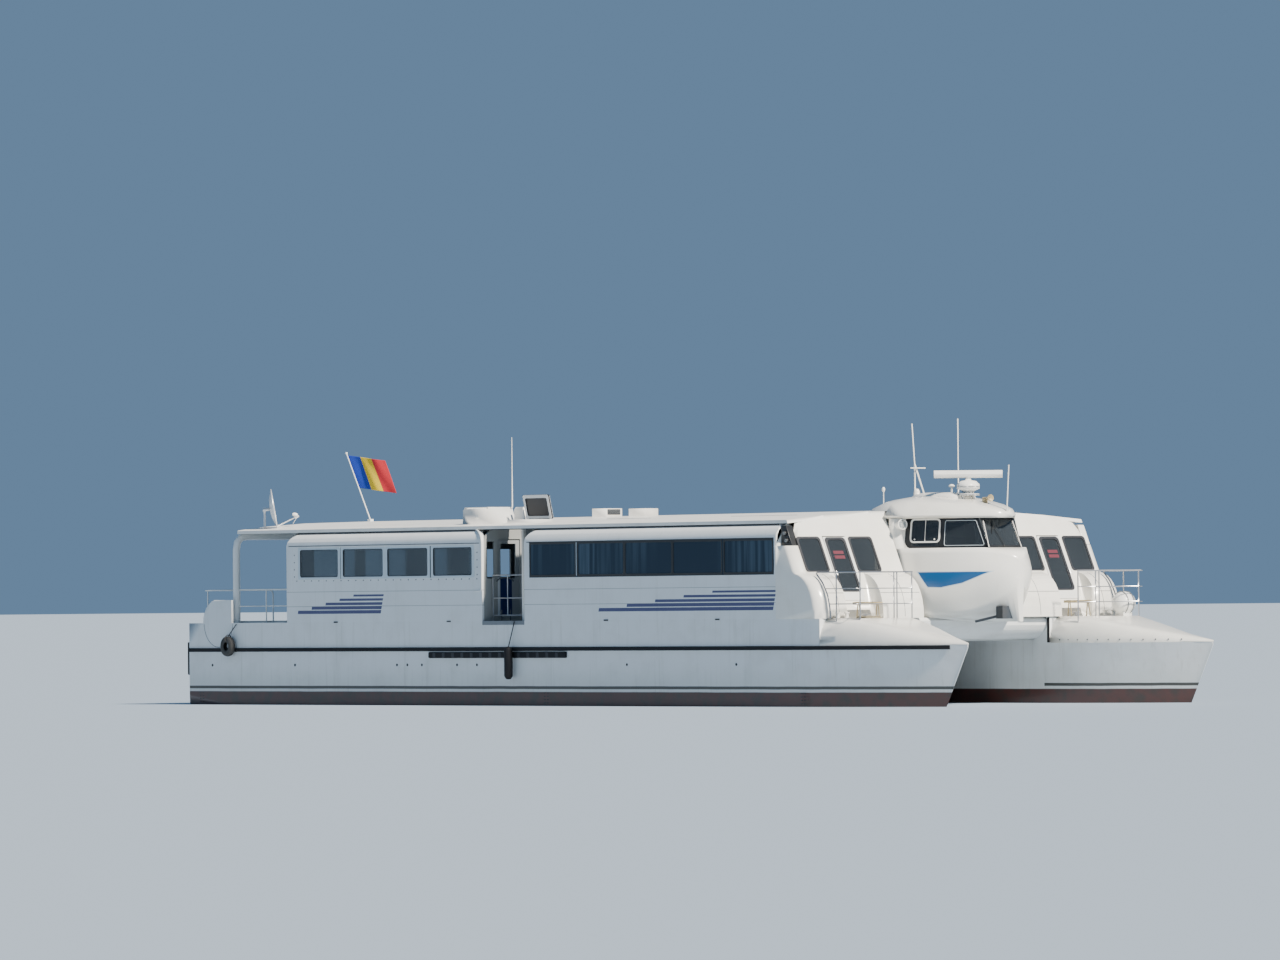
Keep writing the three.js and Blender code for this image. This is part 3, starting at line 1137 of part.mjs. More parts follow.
function seatBlock([x0, x1]) {
  const parts = [box([x0, x1], [-SEAT_Y[0] - 400, SEAT_Y[0] + 400], [DECK_Z + GAP, DECK_Z + 30])];
  for (const [, side] of SIDES) {
    for (let x = x0; x + SEAT_PITCH < x1; x += SEAT_PITCH) {
      parts.push(sideView(SEAT_PROFILE.map(([dx, z]) => [x + dx, z]), SEAT_Y.map((y) => side * y)));
    }
    parts.push(box([x0, x1], [side * 1100, side * 1200], [DECK_Z + GAP, 2440]));
  }
  return join(parts);
}

for (const [name, side] of SIDES) {
  makeHull(name, side);
  makeStrake(name, side);
  makeNose(name, side);
  makeEngine(name, side);
  makeEngineLid(name, side);
  makeShaft(name, side);
  makePropeller(name, side);
  makeRudder(name, side);
  makeSideWall(`aft_saloon_side_${name}`, side, AFT_SALOON, AFT_WINDOWS, AFT_WINDOW_Z,
    [[AFT_SALOON[0], -1], [AFT_SALOON[1], 1]]);
  makeSideWall(`forward_saloon_side_${name}`, side, FORWARD_SALOON, FORWARD_WINDOWS, FORWARD_WINDOW_Z,
    [[FORWARD_SALOON[0], -1]]);
  makeSideGlass(`aft_glass_${name}`, side, AFT_WINDOWS, AFT_WINDOW_Z);
  makeSideGlass(`forward_glass_${name}`, side, FORWARD_WINDOWS, FORWARD_WINDOW_Z);
  makeFrontWall(name, side);
  makeFrontGlass(name, side);
  makeFrontDoor(name, side);
  makeForedeckRail(name, side);
  makeStepBoard(name, side);
  makeGate(name, side);
}
makeBridgeDeck();
makeBulkheads();
makeDoor('aft_door', AFT_SALOON[0] + GAP, AFT_DOORWAY, 1, [2300, 3900], materials.white);
makeDoor('lobby_door', AFT_SALOON[1] - WALL, LOBBY_DOORWAY, -1, [3100, 3950], materials.navy);
makeRoof();
makeWheelhouse();
makeWheelhouseRoof();
makeRadar();
makeAnchor();
makeLiferaft();
makeMooringRope();
makeSternArch();
makeDish();
makeHatchLid();
makeEnsign();
makeFenders();
add('seats_aft', seatBlock([-9900, -3000]), materials.seat);
add('seats_forward', seatBlock([0, 8400]), materials.seat);

export default ferry;
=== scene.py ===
import json
from math import atan, cos, pi, radians, sin

import bmesh
import bpy
import numpy as np
from mathutils import Matrix, Vector

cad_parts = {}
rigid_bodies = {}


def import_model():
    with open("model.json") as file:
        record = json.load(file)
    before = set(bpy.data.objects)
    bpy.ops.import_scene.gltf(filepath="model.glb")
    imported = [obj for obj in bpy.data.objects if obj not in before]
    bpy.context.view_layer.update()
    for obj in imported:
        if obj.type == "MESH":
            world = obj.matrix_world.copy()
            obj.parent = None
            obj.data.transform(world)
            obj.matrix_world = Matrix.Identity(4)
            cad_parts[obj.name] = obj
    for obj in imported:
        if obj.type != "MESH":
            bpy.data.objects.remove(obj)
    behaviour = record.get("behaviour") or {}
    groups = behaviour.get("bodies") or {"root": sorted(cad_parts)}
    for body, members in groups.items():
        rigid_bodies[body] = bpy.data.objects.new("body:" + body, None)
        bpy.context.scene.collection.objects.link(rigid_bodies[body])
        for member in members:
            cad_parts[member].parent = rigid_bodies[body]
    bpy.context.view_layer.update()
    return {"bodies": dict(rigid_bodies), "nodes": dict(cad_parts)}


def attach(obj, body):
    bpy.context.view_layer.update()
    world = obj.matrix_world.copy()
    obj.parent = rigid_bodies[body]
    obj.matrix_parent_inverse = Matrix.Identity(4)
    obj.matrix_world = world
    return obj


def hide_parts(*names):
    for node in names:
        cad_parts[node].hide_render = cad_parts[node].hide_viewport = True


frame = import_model()

SIDES = (("starboard", -1.0), ("port", 1.0))
HALF_BEAM = 4.72

# Camera, fitted to the photograph: a long lens, low over the water, off the starboard bow. Its pitch is the
# horizon's distance from the middle over the focal length, both in the photograph's pixels
VIEW_HEADING = radians(52.0)
VIEW_PITCH = atan(127 / 9561)
VIEW_ROLL = 0.009
VIEW_PLACE = (183.97722374, -145.35601083, 2.3713098)
VIEW_LENS = 268.9


def in_scene(name, data):
    """Object with its data, linked into the scene."""
    thing = bpy.data.objects.new(name, data)
    bpy.context.scene.collection.objects.link(thing)
    return thing


def make_camera():
    """Camera turned to its heading, tipped up by the pitch and rolled by the roll."""
    flat = Vector((-sin(VIEW_HEADING), cos(VIEW_HEADING), 0))
    right = Vector((cos(VIEW_HEADING), sin(VIEW_HEADING), 0))
    up = Vector((0, 0, 1))
    ahead = flat * cos(VIEW_PITCH) + up * sin(VIEW_PITCH)
    over = up * cos(VIEW_PITCH) - flat * sin(VIEW_PITCH)
    rolled_right = right * cos(VIEW_ROLL) - over * sin(VIEW_ROLL)
    rolled_up = over * cos(VIEW_ROLL) + right * sin(VIEW_ROLL)
    data = bpy.data.cameras.new("camera")
    data.sensor_width = 36
    data.lens = VIEW_LENS
    data.clip_start = 1
    data.clip_end = 20000
    camera = in_scene("camera", data)
    turn = Matrix((rolled_right, rolled_up, -ahead)).transposed().to_4x4()
    camera.matrix_world = Matrix.Translation(VIEW_PLACE) @ turn
    bpy.context.scene.camera = camera


make_camera()


# Node building
def new_group(name, inputs, outputs):
    """Empty shader group with its sockets; inputs are (name, kind, default), outputs (name, kind)."""
    group = bpy.data.node_groups.new(name, "ShaderNodeTree")
    for label, kind, value in inputs:
        socket = group.interface.new_socket(label, in_out="INPUT", socket_type=kind)
        socket.default_value = value
    for label, kind in outputs:
        group.interface.new_socket(label, in_out="OUTPUT", socket_type=kind)
    return group, group.nodes.new("NodeGroupInput"), group.nodes.new("NodeGroupOutput")


def put(tree, kind, settings=None, inputs=None):
    """Adds a node with its settings, and links or sets its inputs."""
    node = tree.nodes.new(kind)
    for key, value in (settings or {}).items():
        setattr(node, key, value)
    for key, value in (inputs or {}).items():
        if isinstance(value, bpy.types.NodeSocket):
            tree.links.new(value, node.inputs[key])
        else:
            node.inputs[key].default_value = value
    return node


def number(tree, operation, a, b=0.0, c=0.0):
    """Output of a Math node."""
    return put(tree, "ShaderNodeMath", {"operation": operation}, {0: a, 1: b, 2: c}).outputs[0]


def times(tree, *factors):
    """Product of several values."""
    product = factors[0]
    for factor in factors[1:]:
        product = number(tree, "MULTIPLY", product, factor)
    return product


def less(tree, a, b):
    """Difference of two values."""
    return number(tree, "SUBTRACT", a, b)


def mix(tree, share, a, b):
    """Output of a colour Mix node."""
    return put(tree, "ShaderNodeMix", {"data_type": "RGBA", "blend_type": "MIX"}, {0: share, 6: a, 7: b}).outputs[2]


def place_of(tree, kind="Object"):
    """Texture coordinates of one kind."""
    return put(tree, "ShaderNodeTexCoord").outputs[kind]


def apart(tree, vector):
    """The x, y and z of a vector."""
    return put(tree, "ShaderNodeSeparateXYZ", None, {0: vector}).outputs


def bumped(tree, shader, height, strength, depth):
    """Feeds the shader's normal with a bump from a height."""
    node = put(tree, "ShaderNodeBump", None, {"Strength": strength, "Distance": depth, "Height": height})
    tree.links.new(node.outputs[0], shader.inputs["Normal"])


def noise(tree, vector, scale, detail=4.0, rough=0.55):
    """Height of a noise pattern, 0 to 1."""
    return put(tree, "ShaderNodeTexNoise", None, {
        "Vector": vector, "Scale": scale, "Detail": detail, "Roughness": rough}).outputs[0]


def ramp(tree, value, low, high):
    """Value taken from 0 at low to 1 at high, with soft ends."""
    return put(tree, "ShaderNodeMapRange", {"interpolation_type": "SMOOTHSTEP"}, {
        "Value": value, "From Min": low, "From Max": high}).outputs[0]


def stretched(tree, vector, scale):
    """Vector scaled differently along each axis."""
    return put(tree, "ShaderNodeMapping", None, {"Vector": vector, "Scale": scale}).outputs[0]


def weather_group():
    """Rain streaks, dull patches and fine waviness on a painted surface, from its place."""
    group, entry, leave = new_group("weather", [
        ("Clean", "NodeSocketColor", (0.8, 0.8, 0.8, 1)), ("Dirty", "NodeSocketColor", (0.3, 0.27, 0.22, 1)),
        ("Streaks", "NodeSocketFloat", 0.3), ("Patches", "NodeSocketFloat", 0.3),
        ("Smooth", "NodeSocketFloat", 0.3), ("Rough", "NodeSocketFloat", 0.6)],
        [("Colour", "NodeSocketColor"), ("Roughness", "NodeSocketFloat"), ("Height", "NodeSocketFloat")])
    place = place_of(group)
    run = noise(group, stretched(group, place, (9, 9, 0.45)), 1.0, 5.0, 0.6)
    fine = noise(group, stretched(group, place, (45, 45, 1.6)), 1.0, 3.0)
    cloud = noise(group, place, 1.3, 5.0)
    streak = times(group, ramp(group, run, 0.52, 0.78), number(group, "MULTIPLY_ADD", fine, 0.8, 0.3))
    patch = ramp(group, cloud, 0.42, 0.75)
    grime = number(group, "ADD", times(group, streak, entry.outputs["Streaks"]),
                   times(group, patch, entry.outputs["Patches"]))
    capped = number(group, "MINIMUM", grime, 1.0)
    colour = mix(group, capped, entry.outputs["Clean"], entry.outputs["Dirty"])
    rough = put(group, "ShaderNodeMix", {"data_type": "FLOAT"}, {
        0: capped, 2: entry.outputs["Smooth"], 3: entry.outputs["Rough"]}).outputs[0]
    wave = noise(group, stretched(group, place, (2.2, 2.2, 4.5)), 1.0, 2.0)
    skin = noise(group, place, 160.0, 2.0)
    height = number(group, "MULTIPLY_ADD", skin, 0.015, wave)
    for label, value in (("Colour", colour), ("Roughness", rough), ("Height", height)):
        group.links.new(value, leave.inputs[label])
    return group


WEATHER = weather_group()


def new_material(name, metallic=0.0, **sockets):
    """Material with a Principled shader and its constant sockets set."""
    material = bpy.data.materials.new(name)
    material.use_nodes = True
    tree = material.node_tree
    shader = next(n for n in tree.nodes if n.type == "BSDF_PRINCIPLED")
    shader.inputs["Metallic"].default_value = metallic
    for key, value in sockets.items():
        shader.inputs[key.replace("_", " ").title().replace("Ior", "IOR")].default_value = value
    return material, tree, shader


def weathered(tree, shader, clean, dirty, streaks, patches, smooth, rough, bump=0.12, depth=0.01):
    """Places the weather group in a material and feeds the shader's roughness and normal; returns its colour."""
    node = put(tree, "ShaderNodeGroup", {"node_tree": WEATHER}, {
        "Clean": (*clean, 1), "Dirty": (*dirty, 1), "Streaks": streaks, "Patches": patches,
        "Smooth": smooth, "Rough": rough})
    tree.links.new(node.outputs["Roughness"], shader.inputs["Roughness"])
    bumped(tree, shader, node.outputs["Height"], bump, depth)
    return node.outputs["Colour"]


def plain_finish(name, clean, dirty, streaks=0.2, patches=0.3, smooth=0.3, rough=0.6, metallic=0.0, bump=0.12,
                 depth=0.01, **sockets):
    """A weathered finish of one colour."""
    material, tree, shader = new_material(name, metallic, **sockets)
    tree.links.new(weathered(tree, shader, clean, dirty, streaks, patches, smooth, rough, bump, depth),
                   shader.inputs["Base Color"])
    return material


def between(tree, value, low, high, soft=0.004):
    """1 where the value lies between low and high."""
    return times(tree, ramp(tree, value, low - soft, low + soft),
                 less(tree, 1.0, ramp(tree, value, high - soft, high + soft)))


# Heights of the hulls' paint: edge of the antifouling, dark line, and where the painted shade of the low hull,
# darker towards the waterline, fades out
BOOT_Z = 0.337
STRIPE_Z = (0.405, 0.477)
LOW_HULL_SHADE_Z = (0.45, 1.1)
# The dark line runs on the outer sides and forward, not in the tunnel
STRIPE_FROM_Y = 3.76
STRIPE_FROM_X = 10.4
DARK_LINE = (0.012, 0.014, 0.02, 1)
# Colour of the painted shade on the low hull, towards the waterline
LOW_HULL_SHADE = (0.30, 0.29, 0.22, 1)
PRIMERS = ((0.085, 0.032, 0.026, 1), (0.05, 0.035, 0.028, 1))


def hull_paint():
    """White topside with a dark line, painted shade darkening it towards the waterline, and red-brown antifouling,
    by height.
    """
    material, tree, shader = new_material("hull_paint", coat_weight=0.25, coat_roughness=0.2)
    white = weathered(tree, shader, (0.78, 0.80, 0.80), (0.36, 0.33, 0.27), 0.32, 0.16, 0.3, 0.55, 0.25, 0.02)
    x, y, z = apart(tree, place_of(tree))
    wander = noise(tree, place_of(tree), 1.1, 3.0)
    height = number(tree, "MULTIPLY_ADD", less(tree, wander, 0.5), 0.014, z)
    outer = number(tree, "GREATER_THAN", number(tree, "ABSOLUTE", y), STRIPE_FROM_Y)
    fore = number(tree, "GREATER_THAN", x, STRIPE_FROM_X)
    stripe = times(tree, between(tree, height, *STRIPE_Z), number(tree, "MAXIMUM", outer, fore))
    striped = mix(tree, stripe, white, DARK_LINE)
    under = less(tree, 1.0, ramp(tree, height, BOOT_Z - 0.01, BOOT_Z + 0.01))
    # Painted shade: the low hull is darkened towards the waterline
    low_shaded = mix(tree, times(tree, less(tree, 1.0, ramp(tree, z, *LOW_HULL_SHADE_Z)), 0.18), striped, LOW_HULL_SHADE)
    primer = mix(tree, ramp(tree, noise(tree, place_of(tree), 3.0, 6.0), 0.4, 0.7), *PRIMERS)
    tree.links.new(mix(tree, under, low_shaded, primer), shader.inputs["Base Color"])
    return material


# Plain speed stripes on the saloon sides: slanted ends, cut by thin gaps. columns: start, end, bottom and top
STRIPES = ((-10.0, -6.5, 2.27, 2.80), (2.3, 9.0, 2.27, 2.80))
STRIPE_LEAN = 0.28
STRIPE_GAP = 0.106
STRIPE_STEPS = 5.0
STRIPE_STEP = 0.16
STRIPE_BLUE = (0.012, 0.018, 0.13, 1)

# Seams along the panels
SEAM_Z = (2.82, 2.455)
SEAM_HALF = 0.005
SEAM_GREY = (0.12, 0.13, 0.14, 1)


def speed_stripes(tree, x, z):
    """1 on the stripes: bars that lean forward, thinner and shorter towards the top."""
    bars = number(tree, "FRACT", number(tree, "DIVIDE", less(tree, z, STRIPES[0][2]), STRIPE_GAP))
    masks = []
    for start, end, low, high in STRIPES:
        rise = number(tree, "DIVIDE", less(tree, z, low), high - low)
        lean = number(tree, "MULTIPLY_ADD", less(tree, z, low), -STRIPE_LEAN, x)
        step = number(tree, "FLOOR", times(tree, rise, STRIPE_STEPS))
        shorter = number(tree, "MULTIPLY_ADD", step, STRIPE_STEP * (end - start), start)
        thick = number(tree, "LESS_THAN", bars, number(tree, "MULTIPLY_ADD", rise, -0.45, 0.88))
        masks.append(times(tree, number(tree, "GREATER_THAN", lean, shorter), number(tree, "LESS_THAN", lean, end),
                           thick, between(tree, z, low, high, 0.002)))
    return number(tree, "MAXIMUM", *masks)


def side_paint():
    """White panels with thin dark seams along them by height, and navy speed stripes."""
    material, tree, shader = new_material("side_paint", coat_weight=0.2, coat_roughness=0.2)
    white = weathered(tree, shader, (0.79, 0.81, 0.81), (0.42, 0.40, 0.35), 0.22, 0.14, 0.3, 0.55, 0.25, 0.012)
    x, y, z = apart(tree, place_of(tree))
    seams = number(tree, "MAXIMUM", *[
        between(tree, z, line_mark - SEAM_HALF, line_mark + SEAM_HALF, 0.002) for line_mark in SEAM_Z])
    lined = mix(tree, times(tree, seams, 0.8), white, SEAM_GREY)
    outer = number(tree, "GREATER_THAN", number(tree, "ABSOLUTE", y), HALF_BEAM - 0.01)
    share = times(tree, speed_stripes(tree, x, z), times(tree, outer, 0.94))
    tree.links.new(mix(tree, share, lined, STRIPE_BLUE), shader.inputs["Base Color"])
    return material


# Blank pennant on the wheelhouse sides: its level top, its aft and fore lower corners, and its point, as (x, z).
# It lies outside the slanted line x SIDE_SLANT + |y| = SIDE_REACH, so not on the centre bow
PENNANT_TOP = 3.15
PENNANT = ((10.33, 3.15), (10.68, 2.76), (11.02, 2.75), (11.50, 2.85), (12.16, 3.15))
SIDE_SLANT = 0.375
SIDE_REACH = 4.90
PENNANT_BLUE = (0.010, 0.085, 0.24, 1)
PENNANT_RIM = (0.30, 0.50, 0.72, 1)


def beyond(tree, x, z, start, end):
    """Signed distance above the line from start to end, in x and z."""
    run, rise = end[0] - start[0], end[1] - start[1]
    size = (run ** 2 + rise ** 2) ** 0.5
    level = number(tree, "MULTIPLY_ADD", x, -rise / size, (rise * start[0] - run * start[1]) / size)
    return number(tree, "MULTIPLY_ADD", z, run / size, level)


def wheelhouse_paint():
    """Cream gelcoat with a blank blue pennant inside a thin pale line."""
    material, tree, shader = new_material("wheelhouse_gelcoat", coat_weight=0.3, coat_roughness=0.15)
    cream = weathered(tree, shader, (0.86, 0.845, 0.79), (0.52, 0.47, 0.38), 0.10, 0.10, 0.22, 0.5)
    x, y, z = apart(tree, place_of(tree))
    inside = less(tree, PENNANT_TOP, z)
    for start, end in zip(PENNANT[:-1], PENNANT[1:]):
        inside = number(tree, "MINIMUM", inside, beyond(tree, x, z, start, end))
    reach = number(tree, "MULTIPLY_ADD", x, SIDE_SLANT, number(tree, "ABSOLUTE", y))
    outer = number(tree, "GREATER_THAN", reach, SIDE_REACH)
    blue = times(tree, ramp(tree, inside, 0.018, 0.022), outer)
    rimmed = mix(tree, times(tree, ramp(tree, inside, -0.002, 0.002), outer, 0.55), cream, PENNANT_RIM)
    tree.links.new(mix(tree, blue, rimmed, PENNANT_BLUE), shader.inputs["Base Color"])
    return material


def tinted_glass(name, colour, transmission, roughness=0.02):
    """Tinted glass with a faint uneven tint."""
    material, tree, shader = new_material(name, transmission_weight=transmission, ior=1.45, roughness=roughness)
    cloud = ramp(tree, noise(tree, place_of(tree), 0.8, 3.0), 0.3, 0.7)
    tree.links.new(mix(tree, cloud, (*colour, 1), (*[0.86 * c for c in colour], 1)), shader.inputs["Base Color"])
    return material


def curtained_glass():
    """Dark blue glass with the folds of pale curtains dimly behind it."""
    material, tree, shader = new_material("curtained_glass", transmission_weight=0.2, ior=1.45, roughness=0.04)
    place = place_of(tree)
    fold = noise(tree, stretched(tree, place, (7, 1, 0.3)), 1.0, 2.0)
    hang = ramp(tree, noise(tree, stretched(tree, place, (0.55, 1, 0.1)), 1.0, 1.0), 0.42, 0.6)
    share = times(tree, ramp(tree, fold, 0.4, 0.65), hang, 0.75)
    tree.links.new(mix(tree, share, (0.026, 0.042, 0.062, 1), (0.10, 0.145, 0.19, 1)), shader.inputs["Base Color"])
    return material


def rope_like(name, light, dark, scale):
    """Twisted strands, as slanted waves over the piece's own UV map."""
    material, tree, shader = new_material(name, roughness=0.85)
    lay = put(tree, "ShaderNodeMapping", None, {
        "Vector": place_of(tree, "UV"), "Rotation": (0, 0, radians(38))}).outputs[0]
    strand = put(tree, "ShaderNodeTexWave", {"wave_type": "BANDS", "wave_profile": "SIN"}, {
        "Vector": lay, "Scale": scale, "Distortion": 0.6, "Detail": 1.0}).outputs[1]
    tree.links.new(mix(tree, strand, (*dark, 1), (*light, 1)), shader.inputs["Base Color"])
    bumped(tree, shader, strand, 0.8, 0.004)
    return material


def flag_cloth():
    """Three upright bands of woven cloth, by the cloth's own UV map."""
    material, tree, shader = new_material("flag_cloth", roughness=0.85)
    place = place_of(tree, "UV")
    along = apart(tree, place)[0]
    warm = mix(tree, ramp(tree, along, 0.664, 0.669), (0.80, 0.56, 0.02, 1), (0.55, 0.02, 0.03, 1))
    bands = mix(tree, ramp(tree, along, 0.331, 0.336), (0.01, 0.05, 0.42, 1), warm)
    weave = put(tree, "ShaderNodeTexWave", {"wave_type": "BANDS", "bands_direction": "DIAGONAL"}, {
        "Vector": place, "Scale": 160.0, "Distortion": 0.5}).outputs[1]
    shade = mix(tree, times(tree, weave, 0.18), bands, (0.02, 0.02, 0.03, 1))
    tree.links.new(shade, shader.inputs["Base Color"])
    bumped(tree, shader, weave, 0.4, 0.001)
    return material


# Lobby door, starboard: heights of its lower panel, and the y range of panel and jamb
DOOR_PANEL_Z = (2.20, 3.12)
DOOR_PANEL_Y = (-4.13, -3.78)
DOOR_JAMB_Y = (-4.22, -4.15)


def lobby_door_paint():
    """Door grey as painted shade of the lobby recess, with a navy lower panel beside a pale jamb, by height and
    breadth.
    """
    material, tree, shader = new_material("lobby_door_paint")
    # Grey over the door: painted shade of the recessed lobby
    grey = weathered(tree, shader, (0.30, 0.32, 0.33), (0.20, 0.20, 0.19), 0.2, 0.3, 0.45, 0.7)
    _, y, z = apart(tree, place_of(tree))
    low = between(tree, z, *DOOR_PANEL_Z)
    panel = times(tree, low, between(tree, y, *DOOR_PANEL_Y))
    jamb = times(tree, low, between(tree, y, *DOOR_JAMB_Y))
    jambed = mix(tree, jamb, grey, (0.70, 0.74, 0.76, 1))
    tree.links.new(mix(tree, panel, jambed, (0.012, 0.024, 0.11, 1)), shader.inputs["Base Color"])
    return material


PAINT = {
    "hull": hull_paint(),
    "side": side_paint(),
    "lobby_door": lobby_door_paint(),
    "pod": wheelhouse_paint(),
    "white": plain_finish("white_paint", (0.80, 0.81, 0.80), (0.45, 0.42, 0.36), 0.2, 0.16, coat_weight=0.2),
    "gelcoat": plain_finish("gelcoat", (0.86, 0.84, 0.78), (0.52, 0.47, 0.38), 0.14, 0.16, 0.22, 0.5,
                            coat_weight=0.3, coat_roughness=0.15),
    "roof": plain_finish("roof_paint", (0.84, 0.83, 0.79), (0.40, 0.37, 0.31), 0.1, 0.25, 0.35, 0.6),
    "deck": plain_finish("deck_paint", (0.56, 0.58, 0.57), (0.26, 0.25, 0.22), 0.1, 0.5, 0.55, 0.8, bump=0.5),
    "rubber": plain_finish("rubber", (0.008, 0.0085, 0.011), (0.03, 0.029, 0.028), 0.4, 0.4, 0.6, 0.85, bump=0.3,
                           specular_ior_level=0.25),
    "steel": plain_finish("stainless", (0.44, 0.45, 0.47), (0.27, 0.26, 0.25), 0.1, 0.3, 0.30, 0.5, 0.85, 0.03),
    "aluminium": plain_finish("aluminium", (0.78, 0.79, 0.80), (0.5, 0.49, 0.47), 0.1, 0.3, 0.35, 0.55, 0.6),
    "iron": plain_finish("galvanised_iron", (0.055, 0.068, 0.085), (0.09, 0.075, 0.06), 0.2, 0.5, 0.5, 0.8, 0.35,
                         0.5),
    "bronze": plain_finish("bronze", (0.48, 0.33, 0.13), (0.16, 0.20, 0.14), 0.2, 0.5, 0.3, 0.6, 0.9),
    "engine": plain_finish("engine_paint", (0.20, 0.26, 0.23), (0.06, 0.055, 0.05), 0.3, 0.5, 0.45, 0.7),
    "beige": plain_finish("beige_plastic", (0.46, 0.37, 0.21), (0.30, 0.25, 0.16), 0.15, 0.3, 0.45, 0.7),
    "tyre": plain_finish("tyre_rubber", (0.022, 0.022, 0.024), (0.10, 0.095, 0.085), 0.3, 0.6, 0.7, 0.9, bump=0.6),
    "seat": plain_finish("seat_cloth", (0.07, 0.13, 0.30), (0.05, 0.08, 0.17), 0.0, 0.4, 0.85, 0.95, bump=0.5),
    "plastic": plain_finish("white_plastic", (0.83, 0.83, 0.80), (0.5, 0.47, 0.40), 0.1, 0.2, 0.3, 0.5),
    "black": plain_finish("black_frame", (0.012, 0.013, 0.015), (0.05, 0.05, 0.05), 0.1, 0.3, 0.3, 0.5),
    "clear": tinted_glass("saloon_glass", (0.27, 0.30, 0.31), 0.72, 0.05),
    "dark": tinted_glass("wheelhouse_pane", (0.10, 0.12, 0.14), 0.75),
    "curtained": curtained_glass(),
    "rope": rope_like("rope", (0.55, 0.49, 0.36), (0.24, 0.20, 0.13), 60.0),
    "pale": plain_finish("pale_frame", (0.62, 0.70, 0.75), (0.42, 0.44, 0.44), 0.2, 0.2, 0.35, 0.55),
    "gasket": plain_finish("window_rubber", (0.014, 0.016, 0.022), (0.05, 0.05, 0.055), 0.1, 0.3, 0.45, 0.7),
    # Grey of the bulkheads: painted shade of the recessed lobby
    "shaded_interior": plain_finish("lobby_shade_grey", (0.34, 0.35, 0.34), (0.22, 0.21, 0.19), 0.2, 0.3, 0.45, 0.7),
    "grey": plain_finish("grey_paint", (0.20, 0.22, 0.24), (0.11, 0.11, 0.10), 0.3, 0.4, 0.5, 0.7),
    "red": plain_finish("red_label", (0.13, 0.022, 0.036), (0.09, 0.03, 0.035), 0.0, 0.2, 0.4, 0.6),
    "lens": tinted_glass("lamp_lens", (0.80, 0.84, 0.86), 0.8),
    "flag": flag_cloth(),
}

# Finish of each CAD node, by the start of its name
NODE_FINISH = {
    "hull": "hull", "rubbing_strake": "rubber", "foredeck_rail": "steel", "foredeck": "gelcoat",
    "engine_lid": "deck", "engine": "engine", "shaft": "bronze", "propeller": "bronze", "rudder": "bronze",
    "aft_saloon_side": "side", "forward_saloon_side": "side", "aft_glass": "clear",
    "forward_glass": "curtained", "front_wall": "gelcoat", "front_glass": "dark", "front_door": "white",
    "step_board": "beige", "boarding_gate": "steel", "bridge_deck": "white", "aft_bulkhead": "shaded_interior",
    "lobby_aft_bulkhead": "shaded_interior", "lobby_forward_bulkhead": "shaded_interior", "aft_door": "white",
    "lobby_door": "lobby_door", "roof_hatch_lid": "gasket", "roof": "roof", "wheelhouse_shell": "pod",
    "wheelhouse_glass": "dark", "wheelhouse_roof": "gelcoat", "radar_pedestal": "plastic",
    "radar_scanner": "plastic", "anchor": "iron", "liferaft": "plastic", "stern_arch": "white",
    "dish": "aluminium", "ensign_staff": "white", "flag": "plastic", "tyre_fender": "tyre",
    "rope_fender": "rubber", "mooring_rope": "rope", "seats": "seat",
}


def dress_nodes():
    """Gives each CAD node the finish of the longest name that it starts with."""
    for name, node in frame["nodes"].items():
        key = max((k for k in NODE_FINISH if name.startswith(k)), key=len)
        node.data.materials.clear()
        node.data.materials.append(PAINT[NODE_FINISH[key]])


dress_nodes()


# Shapes, as numpy grids
def grid_faces(rows, columns, close_rows=False, close_columns=False):
    """Four-sided faces of a grid of points, row after row, closed round where asked."""
    down = np.arange(rows if close_rows else rows - 1)
    along = np.arange(columns if close_columns else columns - 1)
    a, b = np.meshgrid(down, along, indexing="ij")
    a2, b2 = (a + 1) % rows, (b + 1) % columns
    return np.stack([a * columns + b, a * columns + b2, a2 * columns + b2, a2 * columns + b], -1).reshape(-1, 4)


def from_grid(points, close_rows=False, close_columns=False, capped=False):
    """Points of a grid as one part: its points, its faces and a cap over the first and last row where asked."""
    rows, columns = points.shape[:2]
    faces = grid_faces(rows, columns, close_rows, close_columns).tolist()
    if capped:
        faces += [list(range(columns)), list(range((rows - 1) * columns, rows * columns))]
    return points.reshape(-1, 3), faces


def unit(vector):
    """Vector of length one."""
    vector = np.asarray(vector, float)
    return vector / np.linalg.norm(vector, axis=-1, keepdims=True)


def whole_turn(steps):
    """Angles evenly round a whole turn."""
    return np.linspace(0, 2 * pi, steps, endpoint=False)


def tube(path, radius, sides=10, closed=False):
    """Round tube: each point of the path carries a circle square to the path's direction there."""
    path = np.asarray(path, float)
    ahead = unit(np.roll(path, -1, 0) - np.roll(path, 1, 0) if closed else np.gradient(path, axis=0))
    level = np.eye(3)[np.argmin(np.abs(ahead).max(0))]
    side = unit(np.cross(ahead, level))
    over = np.cross(side, ahead)
    turn = whole_turn(sides)[None, :, None]
    circles = path[:, None] + np.broadcast_to(radius, len(path))[:, None, None] * (
        np.cos(turn) * side[:, None] + np.sin(turn) * over[:, None])
    return from_grid(circles, closed, True, not closed)


def turned(profile, centre, axis, sides=24):
    """Solid of revolution: (radius, distance along the axis) carried round the axis."""
    profile = np.asarray(profile, float)
    axis = unit(axis)
    side = unit(np.cross(axis, np.eye(3)[np.argmin(np.abs(axis))]))
    over = np.cross(axis, side)
    turn = whole_turn(sides)[None, :, None]
    points = (np.asarray(centre, float) + profile[:, 1][:, None, None] * axis
              + profile[:, 0][:, None, None] * (np.cos(turn) * side + np.sin(turn) * over))
    return from_grid(points, False, True)


